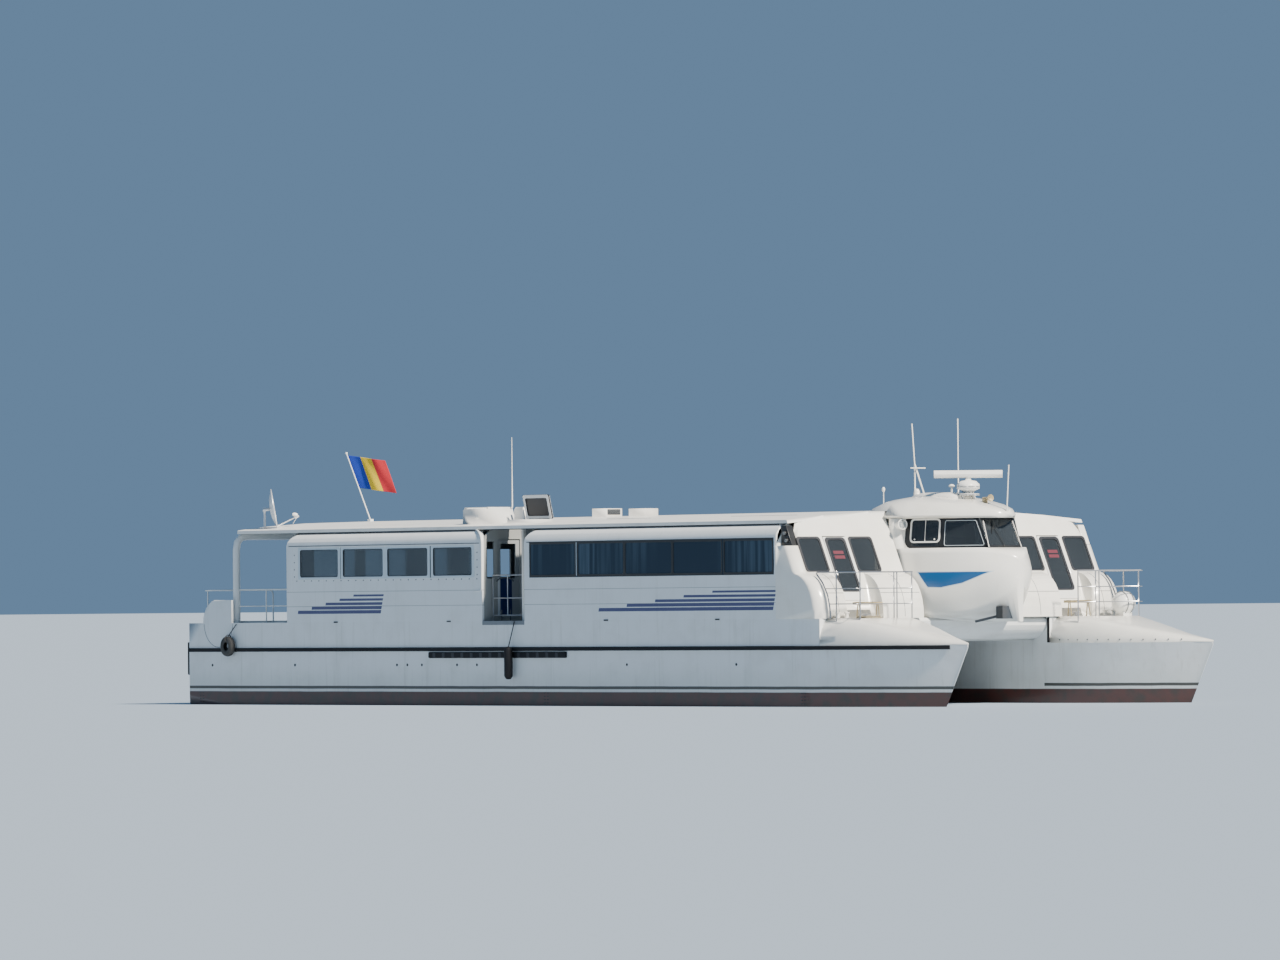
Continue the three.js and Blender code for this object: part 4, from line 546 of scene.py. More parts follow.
def arc(centre, radius, start, end, steps=6):
    """Points of an ellipse's arc in two dimensions; angles in degrees."""
    turn = np.radians(np.linspace(start, end, steps + 1))
    return np.stack([centre[0] + radius[0] * np.cos(turn), centre[1] + radius[1] * np.sin(turn)], 1)


def rounded(across, up, radius, steps=5):
    """Rectangle with round corners, from its ranges."""
    (u0, u1), (v0, v1) = across, up
    corners = ((u1 - radius, v1 - radius, 0), (u0 + radius, v1 - radius, 90),
               (u0 + radius, v0 + radius, 180), (u1 - radius, v0 + radius, 270))
    return np.concatenate([arc((u, v), (radius, radius), start, start + 90, steps) for u, v, start in corners])


class Plane:
    """A flat place on the ferry: an origin, two directions in it and the way out of it."""

    def __init__(self, origin, across, up, out=None):
        self.origin = np.asarray(origin, float)
        self.across, self.up = unit(across), unit(up)
        self.out = unit(np.cross(self.across, self.up) if out is None else out)

    def at(self, flat, height):
        """Points in space of flat points, at a height over the plane."""
        flat = np.asarray(flat, float)
        return self.origin + flat[..., :1] * self.across + flat[..., 1:2] * self.up + height * self.out


def band(plane, outer, inner, low, high):
    """Closed frame between two outlines with as many points, from one height to another."""
    loops = [plane.at(outer, low), plane.at(outer, high), plane.at(inner, high), plane.at(inner, low)]
    return from_grid(np.stack(loops), True, True)


def ring(plane, across, up, outer, inner, low, high):
    """Frame between two rounded outlines: each the ranges grown by a reach across and up, with a corner radius."""
    outlines = [rounded((across[0] - u, across[1] + u), (up[0] - v, up[1] + v), radius)
                for u, v, radius in (outer, inner)]
    return band(plane, *outlines, low, high)


def plate(plane, outline, low, high):
    """Plate with the outline, from one height to another."""
    return from_grid(np.stack([plane.at(outline, low), plane.at(outline, high)]), False, True, True)


def tile(plane, across, up, radius, low, high):
    """Plate over a rectangle with round corners."""
    return plate(plane, rounded(across, up, radius), low, high)


def block(x, y, z, corner):
    """Block with round upright corners."""
    return plate(Plane((0, 0, 0), (1, 0, 0), (0, 1, 0)), rounded(x, y, corner, 3), *z)


def repeated(ball, centres):
    """A grid of points closed round its columns, at many places in one array."""
    rows, columns = ball.shape[:2]
    places = np.asarray(centres, float)[:, None, None]
    faces = grid_faces(rows, columns, False, True) + (np.arange(len(places)) * rows * columns)[:, None, None]
    return (places + ball).reshape(-1, 3), faces.reshape(-1, 4).tolist()


def domes(centres, radius, sides=8):
    """Small round heads at many places: a half circle of four heights turned round."""
    turn = whole_turn(sides)
    lift = np.radians([-89.9, -30, 30, 89.9])[:, None]
    ball = np.stack([np.cos(lift) * np.cos(turn), np.cos(lift) * np.sin(turn),
                     np.repeat(np.sin(lift), sides, 1)], -1)
    return repeated(radius * ball, centres)


def joined(parts):
    """Several parts as one set of points and faces."""
    points, faces, start = [], [], 0
    for part_points, part_faces in parts:
        points.append(part_points)
        faces += [[start + i for i in face] for face in part_faces]
        start += len(part_points)
    return np.concatenate(points), faces


def new_mesh(name, points, faces):
    """Mesh from points and faces."""
    mesh = bpy.data.meshes.new(name)
    mesh.from_pydata(points.tolist(), [], faces)
    return mesh


def all_smooth(mesh):
    """The mesh, with every face shaded smooth."""
    mesh.polygons.foreach_set("use_smooth", np.ones(len(mesh.polygons), bool))
    return mesh


def merged(mesh, distance, angle, rebuilt=False):
    """The mesh, doubles merged and smooth below an angle; thin faces gone and all turned outwards if rebuilt."""
    shape = bmesh.new()
    shape.from_mesh(mesh)
    bmesh.ops.remove_doubles(shape, verts=shape.verts, dist=distance)
    if rebuilt:
        bmesh.ops.dissolve_degenerate(shape, edges=shape.edges, dist=1e-5)
        bmesh.ops.recalc_face_normals(shape, faces=shape.faces)
    shape.to_mesh(mesh)
    shape.free()
    all_smooth(mesh).set_sharp_from_angle(angle=radians(angle))
    return mesh


def unwrapped(name, points, faces, uv):
    """Smooth object from points and faces, with a UV map from one pair of values a point."""
    mesh = new_mesh(name, points, faces)
    layer = mesh.uv_layers.new(name="surface")
    corner = np.empty(len(mesh.loops), int)
    mesh.loops.foreach_get("vertex_index", corner)
    layer.data.foreach_set("uv", uv[corner].astype(np.float32).ravel())
    return in_scene(name, all_smooth(mesh))


def settle(piece, finish, body, replaced=()):
    """Finish, slot and body of a piece, and the CAD nodes that it stands for."""
    piece.data.materials.clear()
    piece.data.materials.append(PAINT[finish])
    if replaced:
        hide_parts(*replaced)
    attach(piece, body)
    return piece


def make(name, parts, finish, body="ferry", angle=40, bevel=0.0, replaced=()):
    """Piece from parts: doubles merged, faces turned outwards, smooth below an angle."""
    piece = in_scene(name, merged(new_mesh(name, *joined(parts)), 2e-5, angle, True))
    if bevel:
        edge = piece.modifiers.new("edge", "BEVEL")
        edge.width, edge.segments, edge.limit_method, edge.angle_limit = bevel, 2, "ANGLE", radians(50)
    return settle(piece, finish, body, replaced)


# CAD nodes with curved faces: merged copies, shaded smooth
SMOOTH_NODES = (
    "hull", "foredeck", "rubbing_strake", "front_wall", "aft_saloon_side", "forward_saloon_side", "wheelhouse",
    "radar", "propeller", "rudder", "shaft", "foredeck_rail", "step_board", "boarding_gate", "stern_arch", "dish",
    "ensign_staff", "liferaft", "anchor", "bridge_deck", "roof", "rope_fender",
)
SMOOTH_ANGLE = {"wheelhouse_shell": 52}
USUAL_ANGLE = 34


def body_name(node):
    """Name of the body that a CAD node rides on."""
    return next(name for name, body in frame["bodies"].items() if body == node.parent)


def smooth_copy(name, node):
    """Copy of a CAD node with its doubles merged, its curved faces smooth and its normals weighted by area."""
    mesh = merged(node.data.copy(), 1e-5, SMOOTH_ANGLE.get(name, USUAL_ANGLE))
    piece = in_scene(f"{name}_skin", mesh)
    piece.modifiers.new("level", "WEIGHTED_NORMAL").keep_sharp = True
    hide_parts(name)
    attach(piece, body_name(node))


for node_name, cad_node in frame["nodes"].items():
    if node_name.startswith(SMOOTH_NODES) and not node_name.startswith("roof_hatch"):
        smooth_copy(node_name, cad_node)


# Saloon windows. columns: start and end along the ferry
AFT_WINDOWS = ((-9.87, -8.26), (-8.06, -6.38), (-6.20, -4.53), (-4.31, -2.72))
AFT_WINDOW_Z = (3.175, 3.88)
FORWARD_WINDOWS = ((-0.39, 1.42), (1.50, 3.32), (3.36, 5.18), (5.22, 7.09), (7.17, 9.01))
FORWARD_WINDOW_Z = (3.14, 3.94)
CORNICE_Z = 3.97
AFT_SALOON = (-10.46, -2.33)
FORWARD_SALOON = (-0.63, 9.10)
DRAIN_X = (-8.38, -3.69, 2.6, 6.9)

# Window frames by piece. columns: finish, bevel, windows, their z range, the outer and the inner edge as reach
# across, reach up and corner radius, and the heights of the frame over the side
WINDOW_FRAMES = {
    "aft_window_frames": ("pale", 0.003, AFT_WINDOWS, AFT_WINDOW_Z,
        (0.085, 0.045, 0.03), (-0.012, -0.012, 0.05), (-0.002, 0.012)),
    "aft_window_seals": ("gasket", 0.0, AFT_WINDOWS, AFT_WINDOW_Z,
        (-0.008, -0.008, 0.057), (-0.02, -0.02, 0.045), (0.0, 0.016)),
    "forward_window_frames": ("black", 0.003, FORWARD_WINDOWS, FORWARD_WINDOW_Z,
        (0.018, 0.03, 0.02), (-0.024, -0.03, 0.05), (-0.002, 0.010)),
}

# Flat strips on the sides by piece. columns: finish, bevel, x ranges, z range, corner radius, heights over the side
SIDE_STRIPS = {
    "forward_mullion": ("pale", 0.0, ((1.452, 1.468),), FORWARD_WINDOW_Z, 0.004, (0.0, 0.014)),
    "cornice_seal": ("black", 0.0, [(start + 0.1, end - 0.1) for start, end in (AFT_SALOON, FORWARD_SALOON)],
        (CORNICE_Z - 0.012, CORNICE_Z + 0.004), 0.004, (-0.002, 0.005)),
    "fender_strip": ("rubber", 0.015, ((-4.49, 1.05),), (1.16, 1.31), 0.03, (-0.002, 0.05)),
    "fender_strip_straps": ("gasket", 0.004, [(x, x + 0.11) for x in np.arange(-4.3, 0.9, 0.38)],
        (1.175, 1.295), 0.02, (0.04, 0.054)),
    "deck_drains": ("black", 0.0, [(x - 0.08, x + 0.08) for x in DRAIN_X], (2.045, 2.078), 0.012, (-0.002, 0.014)),
}

# Blocks on both sides by piece. columns: finish, bevel, x ranges, distances from the centreline, z range and
# corner radius
SIDE_BLOCKS = {
    # Black strip under the roof's edge: painted shadow of the roof's overhang
    "roof_edge_shadow_strip": ("black", 0.0, ((-10.2, 9.0),), (4.523, 4.553), (4.283, 4.303), 0.004),
    "corner_fender": ("rubber", 0.02, ((-14.83, -14.69),), (4.54, 4.70), (0.75, 1.58), 0.04),
    "moulding_joint": ("rubber", 0.008, ((10.565, 10.635),), (2.375, 2.41), (1.44, 2.03), 0.01),
    "lobby_sill": ("grey", 0.006, ((-2.33, -0.64),), (4.50, 4.728), (1.965, 2.066), 0.01),
    "step_treads": ("rubber", 0.0, [(x, x + 0.02) for x in np.arange(10.61, 10.81, 0.045)],
        (2.94, 3.56), (2.438, 2.445), 0.004),
}


def side_plane(side, y):
    """Upright plane along the ferry at a distance from the centreline, facing outboard."""
    return Plane((0, side * y, 0), (1, 0, 0), (0, 0, 1), (0, side, 0))


SIDE_PLANE = {side: side_plane(side, HALF_BEAM) for _, side in SIDES}


def lay(pieces, name, side):
    """Makes pieces of the tables above on one side."""
    for piece in pieces.split():
        if piece in WINDOW_FRAMES:
            finish, bevel, ranges, z, outer, inner, heights = WINDOW_FRAMES[piece]
            parts = [ring(SIDE_PLANE[side], x, z, outer, inner, *heights) for x in ranges]
        elif piece in SIDE_STRIPS:
            finish, bevel, ranges, z, corner, heights = SIDE_STRIPS[piece]
            parts = [tile(SIDE_PLANE[side], x, z, corner, *heights) for x in ranges]
        else:
            finish, bevel, ranges, y, z, corner = SIDE_BLOCKS[piece]
            parts = [block(x, sorted((side * y[0], side * y[1])), z, corner) for x in ranges]
        make(f"{piece}_{name}", parts, finish, bevel=bevel)


def make_side_windows(name, side):
    """Frames and seals of the saloon windows, the forward mullion and a dark seal under the cornice."""
    lay("aft_window_frames aft_window_seals forward_window_frames forward_mullion cornice_seal", name, side)


# Screws of the aft windows: a level row under them and an upright row at each end
SCREW_RADIUS = 0.017
SCREW_ROW_X = np.arange(-10.02, -2.5, 0.312)
SCREW_ROW_Z = 3.095
SCREW_END_X = (-10.12, -2.52)
SCREW_END_Z = (3.2, 3.38, 3.56, 3.74)

# Trim on the aft saloon's fore end: the cornice end's run, rise and reach inward, and the trim's radius
CORNICE_RUN, CORNICE_RISE, CORNICE_IN = 0.56, 0.33, 0.23
TRIM_RADIUS = 0.022


def make_side_fixings(name, side):
    """Screws under and beside the aft windows, as small round heads."""
    flat = [(x, SCREW_ROW_Z) for x in SCREW_ROW_X] + [(x, z) for x in SCREW_END_X for z in SCREW_END_Z]
    make(f"side_screws_{name}", [domes(SIDE_PLANE[side].at(flat, 0.0), SCREW_RADIUS)], "iron")


def make_cornice_trim(name, side):
    """Bent trim up the fore edge of the aft saloon and round its cornice's end, and a black strip painted as the
    shadow under the roof's edge.
    """
    x, y = AFT_SALOON[1], side * (HALF_BEAM + 0.004)
    foot = [[x - 0.30, 2.80], [x - 0.06, 2.80], [x - 0.01, 2.83]]
    edge = np.stack([np.full(12, x), np.linspace(2.9, CORNICE_Z - 0.05, 12)], 1)
    flat = np.concatenate([foot, edge, arc((x - CORNICE_RUN, CORNICE_Z), (CORNICE_RUN, CORNICE_RISE), 0, 84, 12)])
    share = np.clip(1 - ((flat[:, 1] - CORNICE_Z) / CORNICE_RISE) ** 2, 0, 1)
    inward = np.where(flat[:, 1] > CORNICE_Z, CORNICE_IN * (1 - np.sqrt(share)), 0)
    path = np.stack([flat[:, 0], y - side * inward, flat[:, 1]], 1)
    make(f"saloon_end_trim_{name}", [tube(path, TRIM_RADIUS, 10)], "white")
    lay("roof_edge_shadow_strip", name, side)


# Sides of the hulls in plan. columns: length of the entry, y at the stem, change of y up to the full breadth
HULL_OUTER = (5.6, 3.768, 0.952)
HULL_INNER = (4.0, 3.752, -1.352)
STEM_X = 15.0
ENTRY_POWER = 1.8

SCUPPER_X = (-13.69, -10.13, -5.84, -5.41, -4.81, -3.37, -2.56, 3.4, 7.6)
SCUPPER_Z = 0.995
SCUPPER_PROFILE = ((0, -0.01), (0.03, -0.01), (0.034, 0.006), (0.022, 0.007), (0.018, 0.001), (0, 0.001))

# Draught ticks: where the marks start, the columns, middle and rows of one mark, and a tick's size
MARK_X = (-14.25, 0.12, 9.98)
MARK_COLUMNS = (0, 0.12)
MARK_MIDDLE = 0.1
MARK_ROWS = (0.06, 0.14, 0.22, 0.30)
TICK_SIZE = (0.06, 0.022)

COAMING = {"centre": (-13.42, 2.05), "radius": (0.62, 0.60), "line": 0.007}
BOLT_X = np.arange(11.0, 14.5, 0.3)
BOLT_Z = 1.505


def hull_side(x, entry, stem, change):
    """Distance of a hull's side from the centreline: level aft, and a rounded entry forward."""
    share = np.clip((STEM_X - np.asarray(x, float)) / entry, 0, 1)
    return stem + change * (1 - (1 - share) ** ENTRY_POWER)


def make_hull_details(name, side):
    """Fenders, scuppers, drains, draught ticks, coaming outline and the moulding's joint and bolts."""
    lay("fender_strip fender_strip_straps", name, side)
    holes = [turned(SCUPPER_PROFILE, (x, side * HALF_BEAM, SCUPPER_Z), (0, side, 0), 12) for x in SCUPPER_X]
    make(f"scuppers_{name}", holes, "black")
    lay("deck_drains", name, side)
    ticks = []
    for start in MARK_X:
        face = side_plane(side, hull_side(start + MARK_MIDDLE, *HULL_OUTER))
        ticks += [tile(face, (start + dx, start + dx + TICK_SIZE[0]), (z, z + TICK_SIZE[1]), 0.004, -0.01, 0.003)
                  for dx in MARK_COLUMNS for z in MARK_ROWS]
    make(f"draught_ticks_{name}", ticks, "black")
    lay("corner_fender", name, side)
    outline = arc(COAMING["centre"], COAMING["radius"], 182, 358, 36)
    make(f"coaming_outline_{name}", [tube(SIDE_PLANE[side].at(outline, 0.001), COAMING["line"], 6)], "grey")
    lay("moulding_joint", name, side)
    bolts = np.stack([BOLT_X, side * (hull_side(BOLT_X, *HULL_INNER) + 0.002), np.full_like(BOLT_X, BOLT_Z)], 1)
    make(f"moulding_bolts_{name}", [domes(bolts, SCREW_RADIUS)], "iron")


# Raked front walls: u runs outboard, v up the rake from FRONT_Z
RAKE = 0.5
FRONT_Z = 3.17
SLANT = (1 + RAKE ** 2) ** 0.5
FRONT_PLANE = {side: Plane((9.93, 0, FRONT_Z), (0, side, 0), (-RAKE, 0, 1), (1, 0, RAKE)) for _, side in SIDES}
FRONT_WINDOWS_Y = ((2.20, 2.85), (3.77, 4.41))
FRONT_WINDOW_V = (0.0, 0.78 * SLANT)
DOOR_GLASS_Y = (3.035, 3.565)
DOOR_GLASS_V = ((2.70 - FRONT_Z) * SLANT, (3.92 - FRONT_Z) * SLANT)
DOOR_PROUD = 0.0103
LABEL_Y = (3.15, 3.46)
LABEL_Z = (3.465, 3.575)
LABEL_HEIGHT = 0.075
GRIP_Y = 3.60
GRIP_V = (-0.02, -0.02, -0.10, -0.13)
GRIP_HEIGHT = (0.0, 0.045, 0.045, 0.045)
GRIP_RADIUS = 0.009


# Glazing: how far pane and rubber lie inside the opening, how far the rubber reaches below it, and their heights
PANE_IN, RUBBER_IN, RUBBER_BELOW = 0.004, 0.014, 0.024
PANE_HEIGHTS = (-0.016, -0.008)
RUBBER_HEIGHTS = (-0.02, 0.010)


def glazed(plane, y, v, radius, depth, lap=0.042):
    """Pane and rubber frame of one opening in a raked face, which laps over the face round it."""
    def grown(reach, below):
        return (y[0] - reach, y[1] + reach), (v[0] - below, v[1] + reach)

    outer, inner = rounded(*grown(lap, RUBBER_BELOW), radius), rounded(*grown(-RUBBER_IN, -RUBBER_IN), radius)
    pane = tile(plane, *grown(-PANE_IN, -PANE_IN), radius, *[depth + height for height in PANE_HEIGHTS])
    return pane, band(plane, outer, inner, *[depth + height for height in RUBBER_HEIGHTS])


def make_front_windows(name, side):
    """Front windows beside the door: dark panes in rubber with round corners."""
    panes, gaskets = zip(*[glazed(FRONT_PLANE[side], y, FRONT_WINDOW_V, 0.085, 0.0) for y in FRONT_WINDOWS_Y])
    make(f"front_panes_{name}", panes, "dark")
    make(f"front_gaskets_{name}", gaskets, "gasket", bevel=0.003)


def make_front_door_glass(name, side):
    """Door pane, its rubber, two blank red labels and a lever handle, all on the door."""
    plane, body = FRONT_PLANE[side], f"{name}_front_door"
    pane, gasket = glazed(plane, DOOR_GLASS_Y, DOOR_GLASS_V, 0.10, DOOR_PROUD, 0.05)
    make(f"front_door_pane_{name}", [pane], "dark", body)
    make(f"front_door_gasket_{name}", [gasket], "gasket", body, bevel=0.003)
    labels = [tile(plane, LABEL_Y, ((z - FRONT_Z) * SLANT, (z + LABEL_HEIGHT - FRONT_Z) * SLANT), 0.01,
                   DOOR_PROUD - 0.009, DOOR_PROUD - 0.006) for z in LABEL_Z]
    make(f"front_door_labels_{name}", labels, "red", body)
    path = [plane.at((GRIP_Y, v), height + DOOR_PROUD) for v, height in zip(GRIP_V, GRIP_HEIGHT)]
    make(f"front_door_handle_{name}", [tube(path, GRIP_RADIUS, 8)], "steel", body)


# Cowls under the front windows: a superellipse from the knee down to the foot, as (x, z), and its seams
COWL_Y = ((1.56, 2.74), (3.87, 4.36))
COWL_KNEE = (9.88, 3.12)
COWL_FOOT = (10.69, 2.06)
COWL_POWER = 2.2
COWL_SEAM_Z = 2.66
COWL_SEAM_SHARE = 0.45
SEAM_RADIUS = 0.006


def cowl_x(z):
    """Front of the cowls at a height."""
    up = np.clip((np.asarray(z, float) - COWL_FOOT[1]) / (COWL_KNEE[1] - COWL_FOOT[1]), 0, 1)
    return COWL_KNEE[0] + (COWL_FOOT[0] - COWL_KNEE[0]) * (1 - up ** COWL_POWER) ** (1 / COWL_POWER)


def make_cowl_seams(name, side):
    """Moulded seams of the cowls: one level and one upright on each."""
    seams = []
    rise = np.linspace(2.10, 3.10, 24)
    for inner, outer in COWL_Y:
        level = [(float(cowl_x(COWL_SEAM_Z)), side * y, COWL_SEAM_Z) for y in np.linspace(inner, outer, 8)]
        y = side * (inner + COWL_SEAM_SHARE * (outer - inner))
        upright = np.stack([cowl_x(rise), np.full(24, y), rise], 1)
        seams += [tube(level, SEAM_RADIUS, 6), tube(upright, SEAM_RADIUS, 6)]
    make(f"cowl_seams_{name}", seams, "grey")


# Corner box over each front wall's outer end, seen from the side, and its two lamps. columns: x, z
LAMP_BOX = ((9.18, 3.785), (9.585, 3.785), (9.36, 4.25), (9.18, 4.25))
LAMP_BOX_Y = (4.41, 4.60)
LAMPS = ((9.40, 3.90), (9.33, 4.07))
LAMP_PROFILE = ((0, -0.05), (0.045, -0.05), (0.06, -0.03), (0.06, 0.03), (0.045, 0.055), (0, 0.06))
LENS_PROFILE = ((0, 0.0), (0.042, 0.0), (0.042, 0.012), (0, 0.018))
LENS_AHEAD = 0.05


def make_lamp_niche(name, side):
    """Corner box with two navigation lamps over each front wall's outer end; the starboard box is black, painted
    shade of the niche's recess.
    """
    points = np.stack([np.insert(np.array(LAMP_BOX), 1, side * y, 1) for y in LAMP_BOX_Y])
    # Black on the starboard side: painted shade inside the niche's recess
    make(f"lamp_box_{name}", [from_grid(points, False, True, True)], "black" if side < 0 else "gelcoat", bevel=0.01)
    aim = unit((0.35, side, 0))
    centres = [np.array((x, side * LAMP_BOX_Y[1], z)) for x, z in LAMPS]
    make(f"niche_lamps_{name}", [turned(LAMP_PROFILE, c, aim, 16) for c in centres], "black")
    lenses = [turned(LENS_PROFILE, c + LENS_AHEAD * aim, aim, 16) for c in centres]
    make(f"niche_lenses_{name}", lenses, "lens")


# Grab rails of the lobby: a high arch (centre and radii), and three short posts, each as (lean, z)
RAIL_RADIUS = 0.016
RAIL_Y = 4.30
RAIL_ARCH = ((-1.95, 3.02), (0.33, 0.10))
RAIL_X = (-2.1, -1.75, -0.95)
RAIL_POST = ((0, 2.07), (0, 2.25), (0.02, 2.33))


def make_lobby(name, side):
    """Grab rails and sill of the side entrance."""
    y = side * RAIL_Y
    rails = [tube([(x, y, z) for x, z in arc(*RAIL_ARCH, 180, 0, 12)], RAIL_RADIUS, 8)]
    rails += [tube([(x + lean, y, z) for lean, z in RAIL_POST], RAIL_RADIUS, 8) for x in RAIL_X]
    make(f"lobby_rails_{name}", rails, "iron")
    lay("lobby_sill", name, side)


# Wheelhouse: s runs forward along the side panes from x = 9.65, t up them from the sill
PANE_RUN = (2.22, 0.82)
SILL_Z = 3.70
# Black strips of the surround. columns: s range, t range
SURROUND = (((0.05, 2.33), (0.0, 0.055)), ((0.05, 2.05), (0.655, 0.70)), ((0.05, 0.24), (0.03, 0.68)),
            ((1.00, 1.14), (0.03, 0.68)))
SURROUND_END = ((2.24, 0.0), (2.355, 0.0), (2.035, 0.70), (1.92, 0.70))
AFT_PANE = ((0.252, 0.993), (0.162, 0.661))
SECOND_PANE = ((1.15, 2.25), (0.055, 0.645))
SECOND_LEAN = 0.27
CATCHES = ((0.34, 0.21), (0.88, 0.21))


def pane_plane(side):
    """Plane of the side panes, which close in forward and lean in a little."""
    across, up = unit((PANE_RUN[0], -side * PANE_RUN[1], 0)), unit((0, -side * 0.06, 0.7))
    return Plane((9.65, side * 1.32, SILL_Z), across, up, -side * np.cross(across, up))


def make_wheelhouse_windows(name, side):
    """Black surround, white rounded frame of the aft pane, thin frame of the next one, and the corner post."""
    plane = pane_plane(side)
    surround = [tile(plane, s, t, 0.01, 0.001, 0.005) for s, t in SURROUND]
    surround.append(plate(plane, SURROUND_END, 0.001, 0.005))
    make(f"pane_surround_{name}", surround, "black")
    white = [ring(plane, *AFT_PANE, (0.037, 0.037, 0.10), (0, 0, 0.07), 0.003, 0.028),
             tile(plane, (0.613, 0.625), (0.15, 0.67), 0.004, 0.003, 0.016)]
    make(f"aft_pane_frame_{name}", white, "plastic", bevel=0.006)
    make(f"aft_pane_catches_{name}", [domes(plane.at(CATCHES, 0.012), 0.02)], "plastic")
    (s0, s1), (t0, t1) = SECOND_PANE
    outline = rounded(*SECOND_PANE, 0.05)
    outline[:, 0] -= SECOND_LEAN * (outline[:, 0] - s0) / (s1 - s0) * (outline[:, 1] - t0) / (t1 - t0)
    make(f"second_pane_frame_{name}", [tube(plane.at(outline, 0.004), 0.006, 6, True)], "pale")
    corner = np.concatenate([[[0.02, -0.012], [0.27, -0.012]], arc((0.27, 0.19), (0.20, 0.20), 270, 180, 8),
                             [[0.02, 0.19]]])
    make(f"surround_corner_{name}", [plate(plane, corner, 0.0, 0.008)], "gelcoat")
    post = np.linspace((11.872, side * 0.50, SILL_Z), (11.572, side * 0.44, 4.40), 5)
    make(f"pane_corner_post_{name}", [tube(post, 0.022, 8)], "black")


# Windscreen, as (y, distance up it): its edges' ranges up, the wiper's arm, blade and hub
SCREEN_EDGES = ((0.0, 0.05), (0.71, 0.755))
WIPER_ARM = ((-0.02, 0.03), (-0.06, 0.16), (-0.20, 0.50), (-0.23, 0.58))
WIPER_BLADE = ((-0.30, 0.36), (-0.225, 0.54), (-0.15, 0.70))
WIPER_HUB = ((0, 0), (0.028, 0), (0.028, 0.03), (0, 0.036))


def make_windscreen():
    """Black edges and a wiper on the raked windscreen."""
    plane = Plane((11.87, 0, SILL_Z), (0, 1, 0), (-0.3, 0, 0.7), (0.7, 0, 0.3))
    make("windscreen_edges", [tile(plane, (-0.48, 0.48), up, 0.01, 0.001, 0.006) for up in SCREEN_EDGES], "black")
    hub = turned(WIPER_HUB, plane.at(WIPER_ARM[0], 0.0), plane.out, 12)
    make("wiper", [tube(plane.at(WIPER_ARM, 0.03), 0.008, 6), tube(plane.at(WIPER_BLADE, 0.018), 0.009, 6), hub],
         "black")


# Searchlight at the starboard brow, horn, aerial post and the radar's joints, turned from (radius, distance along)
LIGHT_AIM = unit((1.0, -0.12, 0.10))
LIGHT_LENS = np.array((9.84, -1.44, 4.27))
LIGHT_PROFILE = ((0.0, -0.33), (0.05, -0.32), (0.085, -0.24), (0.105, -0.12), (0.125, -0.02), (0.13, 0.0),
                 (0.11, 0.0), (0.105, -0.02), (0.0, -0.03))
LIGHT_GLASS = ((0, -0.02), (0.10, -0.02), (0.10, -0.008), (0, 0.004))
HORN_PROFILE = ((0.0, -0.16), (0.03, -0.16), (0.035, 0.0), (0.05, 0.10), (0.085, 0.16), (0.07, 0.155), (0.0, 0.05))
HORN_THROAT = (11.22, 0.0, 4.865)
HORN_AIM = (1, -0.1, 0.04)
HORN_BLOCK = ((11.10, 11.2), (-0.05, 0.05), (4.74, 4.85), 0.01)
POST_FOOT = (7.75, -0.3, 4.60)
POST_BASE = ((0, 0), (0.05, 0), (0.05, 0.13), (0.02, 0.15), (0, 0.15))
POST_PROFILE = ((0, 0.14), (0.014, 0.14), (0.012, 0.46), (0.035, 0.49), (0.04, 0.54), (0.02, 0.58), (0, 0.58))
RADAR_FOOT = (10.54, 0, 4.86)
RADAR_JOINTS = ((0.26, 0.098), (0.262, 0.285), (0.15, 0.168))
HUMP = {"centre": 9.62, "length": 0.95, "width": 0.52, "foot": 4.80, "edge": 4.90, "rise": 0.13}


def make_roof_hump():
    """Low hump on the dome: a square bent into a disc, x = u sqrt(1 - v^2 / 2.4) and y = v sqrt(1 - u^2 / 2.4),
    which rises with ((1 - u^4)(1 - v^4))^0.6."""
    u, v = np.linspace(-1, 1, 25)[:, None], np.linspace(-1, 1, 17)[None]
    x = HUMP["centre"] + HUMP["length"] * u * np.sqrt(1 - v ** 2 / 2.4)
    y = HUMP["width"] * v * np.sqrt(1 - u ** 2 / 2.4)
    edge = np.clip((1 - u ** 4) * (1 - v ** 4), 0, 1)
    top = np.stack([x, y, HUMP["edge"] + HUMP["rise"] * edge ** 0.6], -1)
    under = np.stack([x, y, np.full_like(x, HUMP["foot"])], -1)
    rim = [np.concatenate([g[0], g[1:, -1], g[-1, -2::-1], g[-2:0:-1, 0]]) for g in (top, under)]
    parts = [from_grid(top), from_grid(under), from_grid(np.stack(rim), False, True)]
    make("roof_hump", parts, "gelcoat", angle=60)


def make_roof_gear():
    """Searchlight on its bracket, horn, hump, aerial post on its base and the radar's dark joints."""
    arm = [LIGHT_LENS - 0.16 * LIGHT_AIM, LIGHT_LENS + (-0.17, 0.03, 0.10), LIGHT_LENS + (-0.20, 0.10, 0.17)]
    make("searchlight", [turned(LIGHT_PROFILE, LIGHT_LENS, LIGHT_AIM, 24), tube(arm, 0.018, 8)], "plastic")
    make("searchlight_lens", [turned(LIGHT_GLASS, LIGHT_LENS, LIGHT_AIM, 24)], "lens")
    make("horn", [turned(HORN_PROFILE, HORN_THROAT, HORN_AIM, 20), block(*HORN_BLOCK)], "beige")
    make_roof_hump()
    make("aerial_base", [turned(POST_BASE, POST_FOOT, (0, 0, 1), 12)], "black")
    make("aerial_post", [turned(POST_PROFILE, POST_FOOT, (0, 0, 1), 12)], "plastic")
    joints = [turned([[r - 0.02, z], [r + 0.004, z], [r + 0.004, z + 0.012], [r - 0.02, z + 0.012]],
                     RADAR_FOOT, (0, 0, 1), 24) for r, z in RADAR_JOINTS]
    make("radar_joints", joints, "grey")


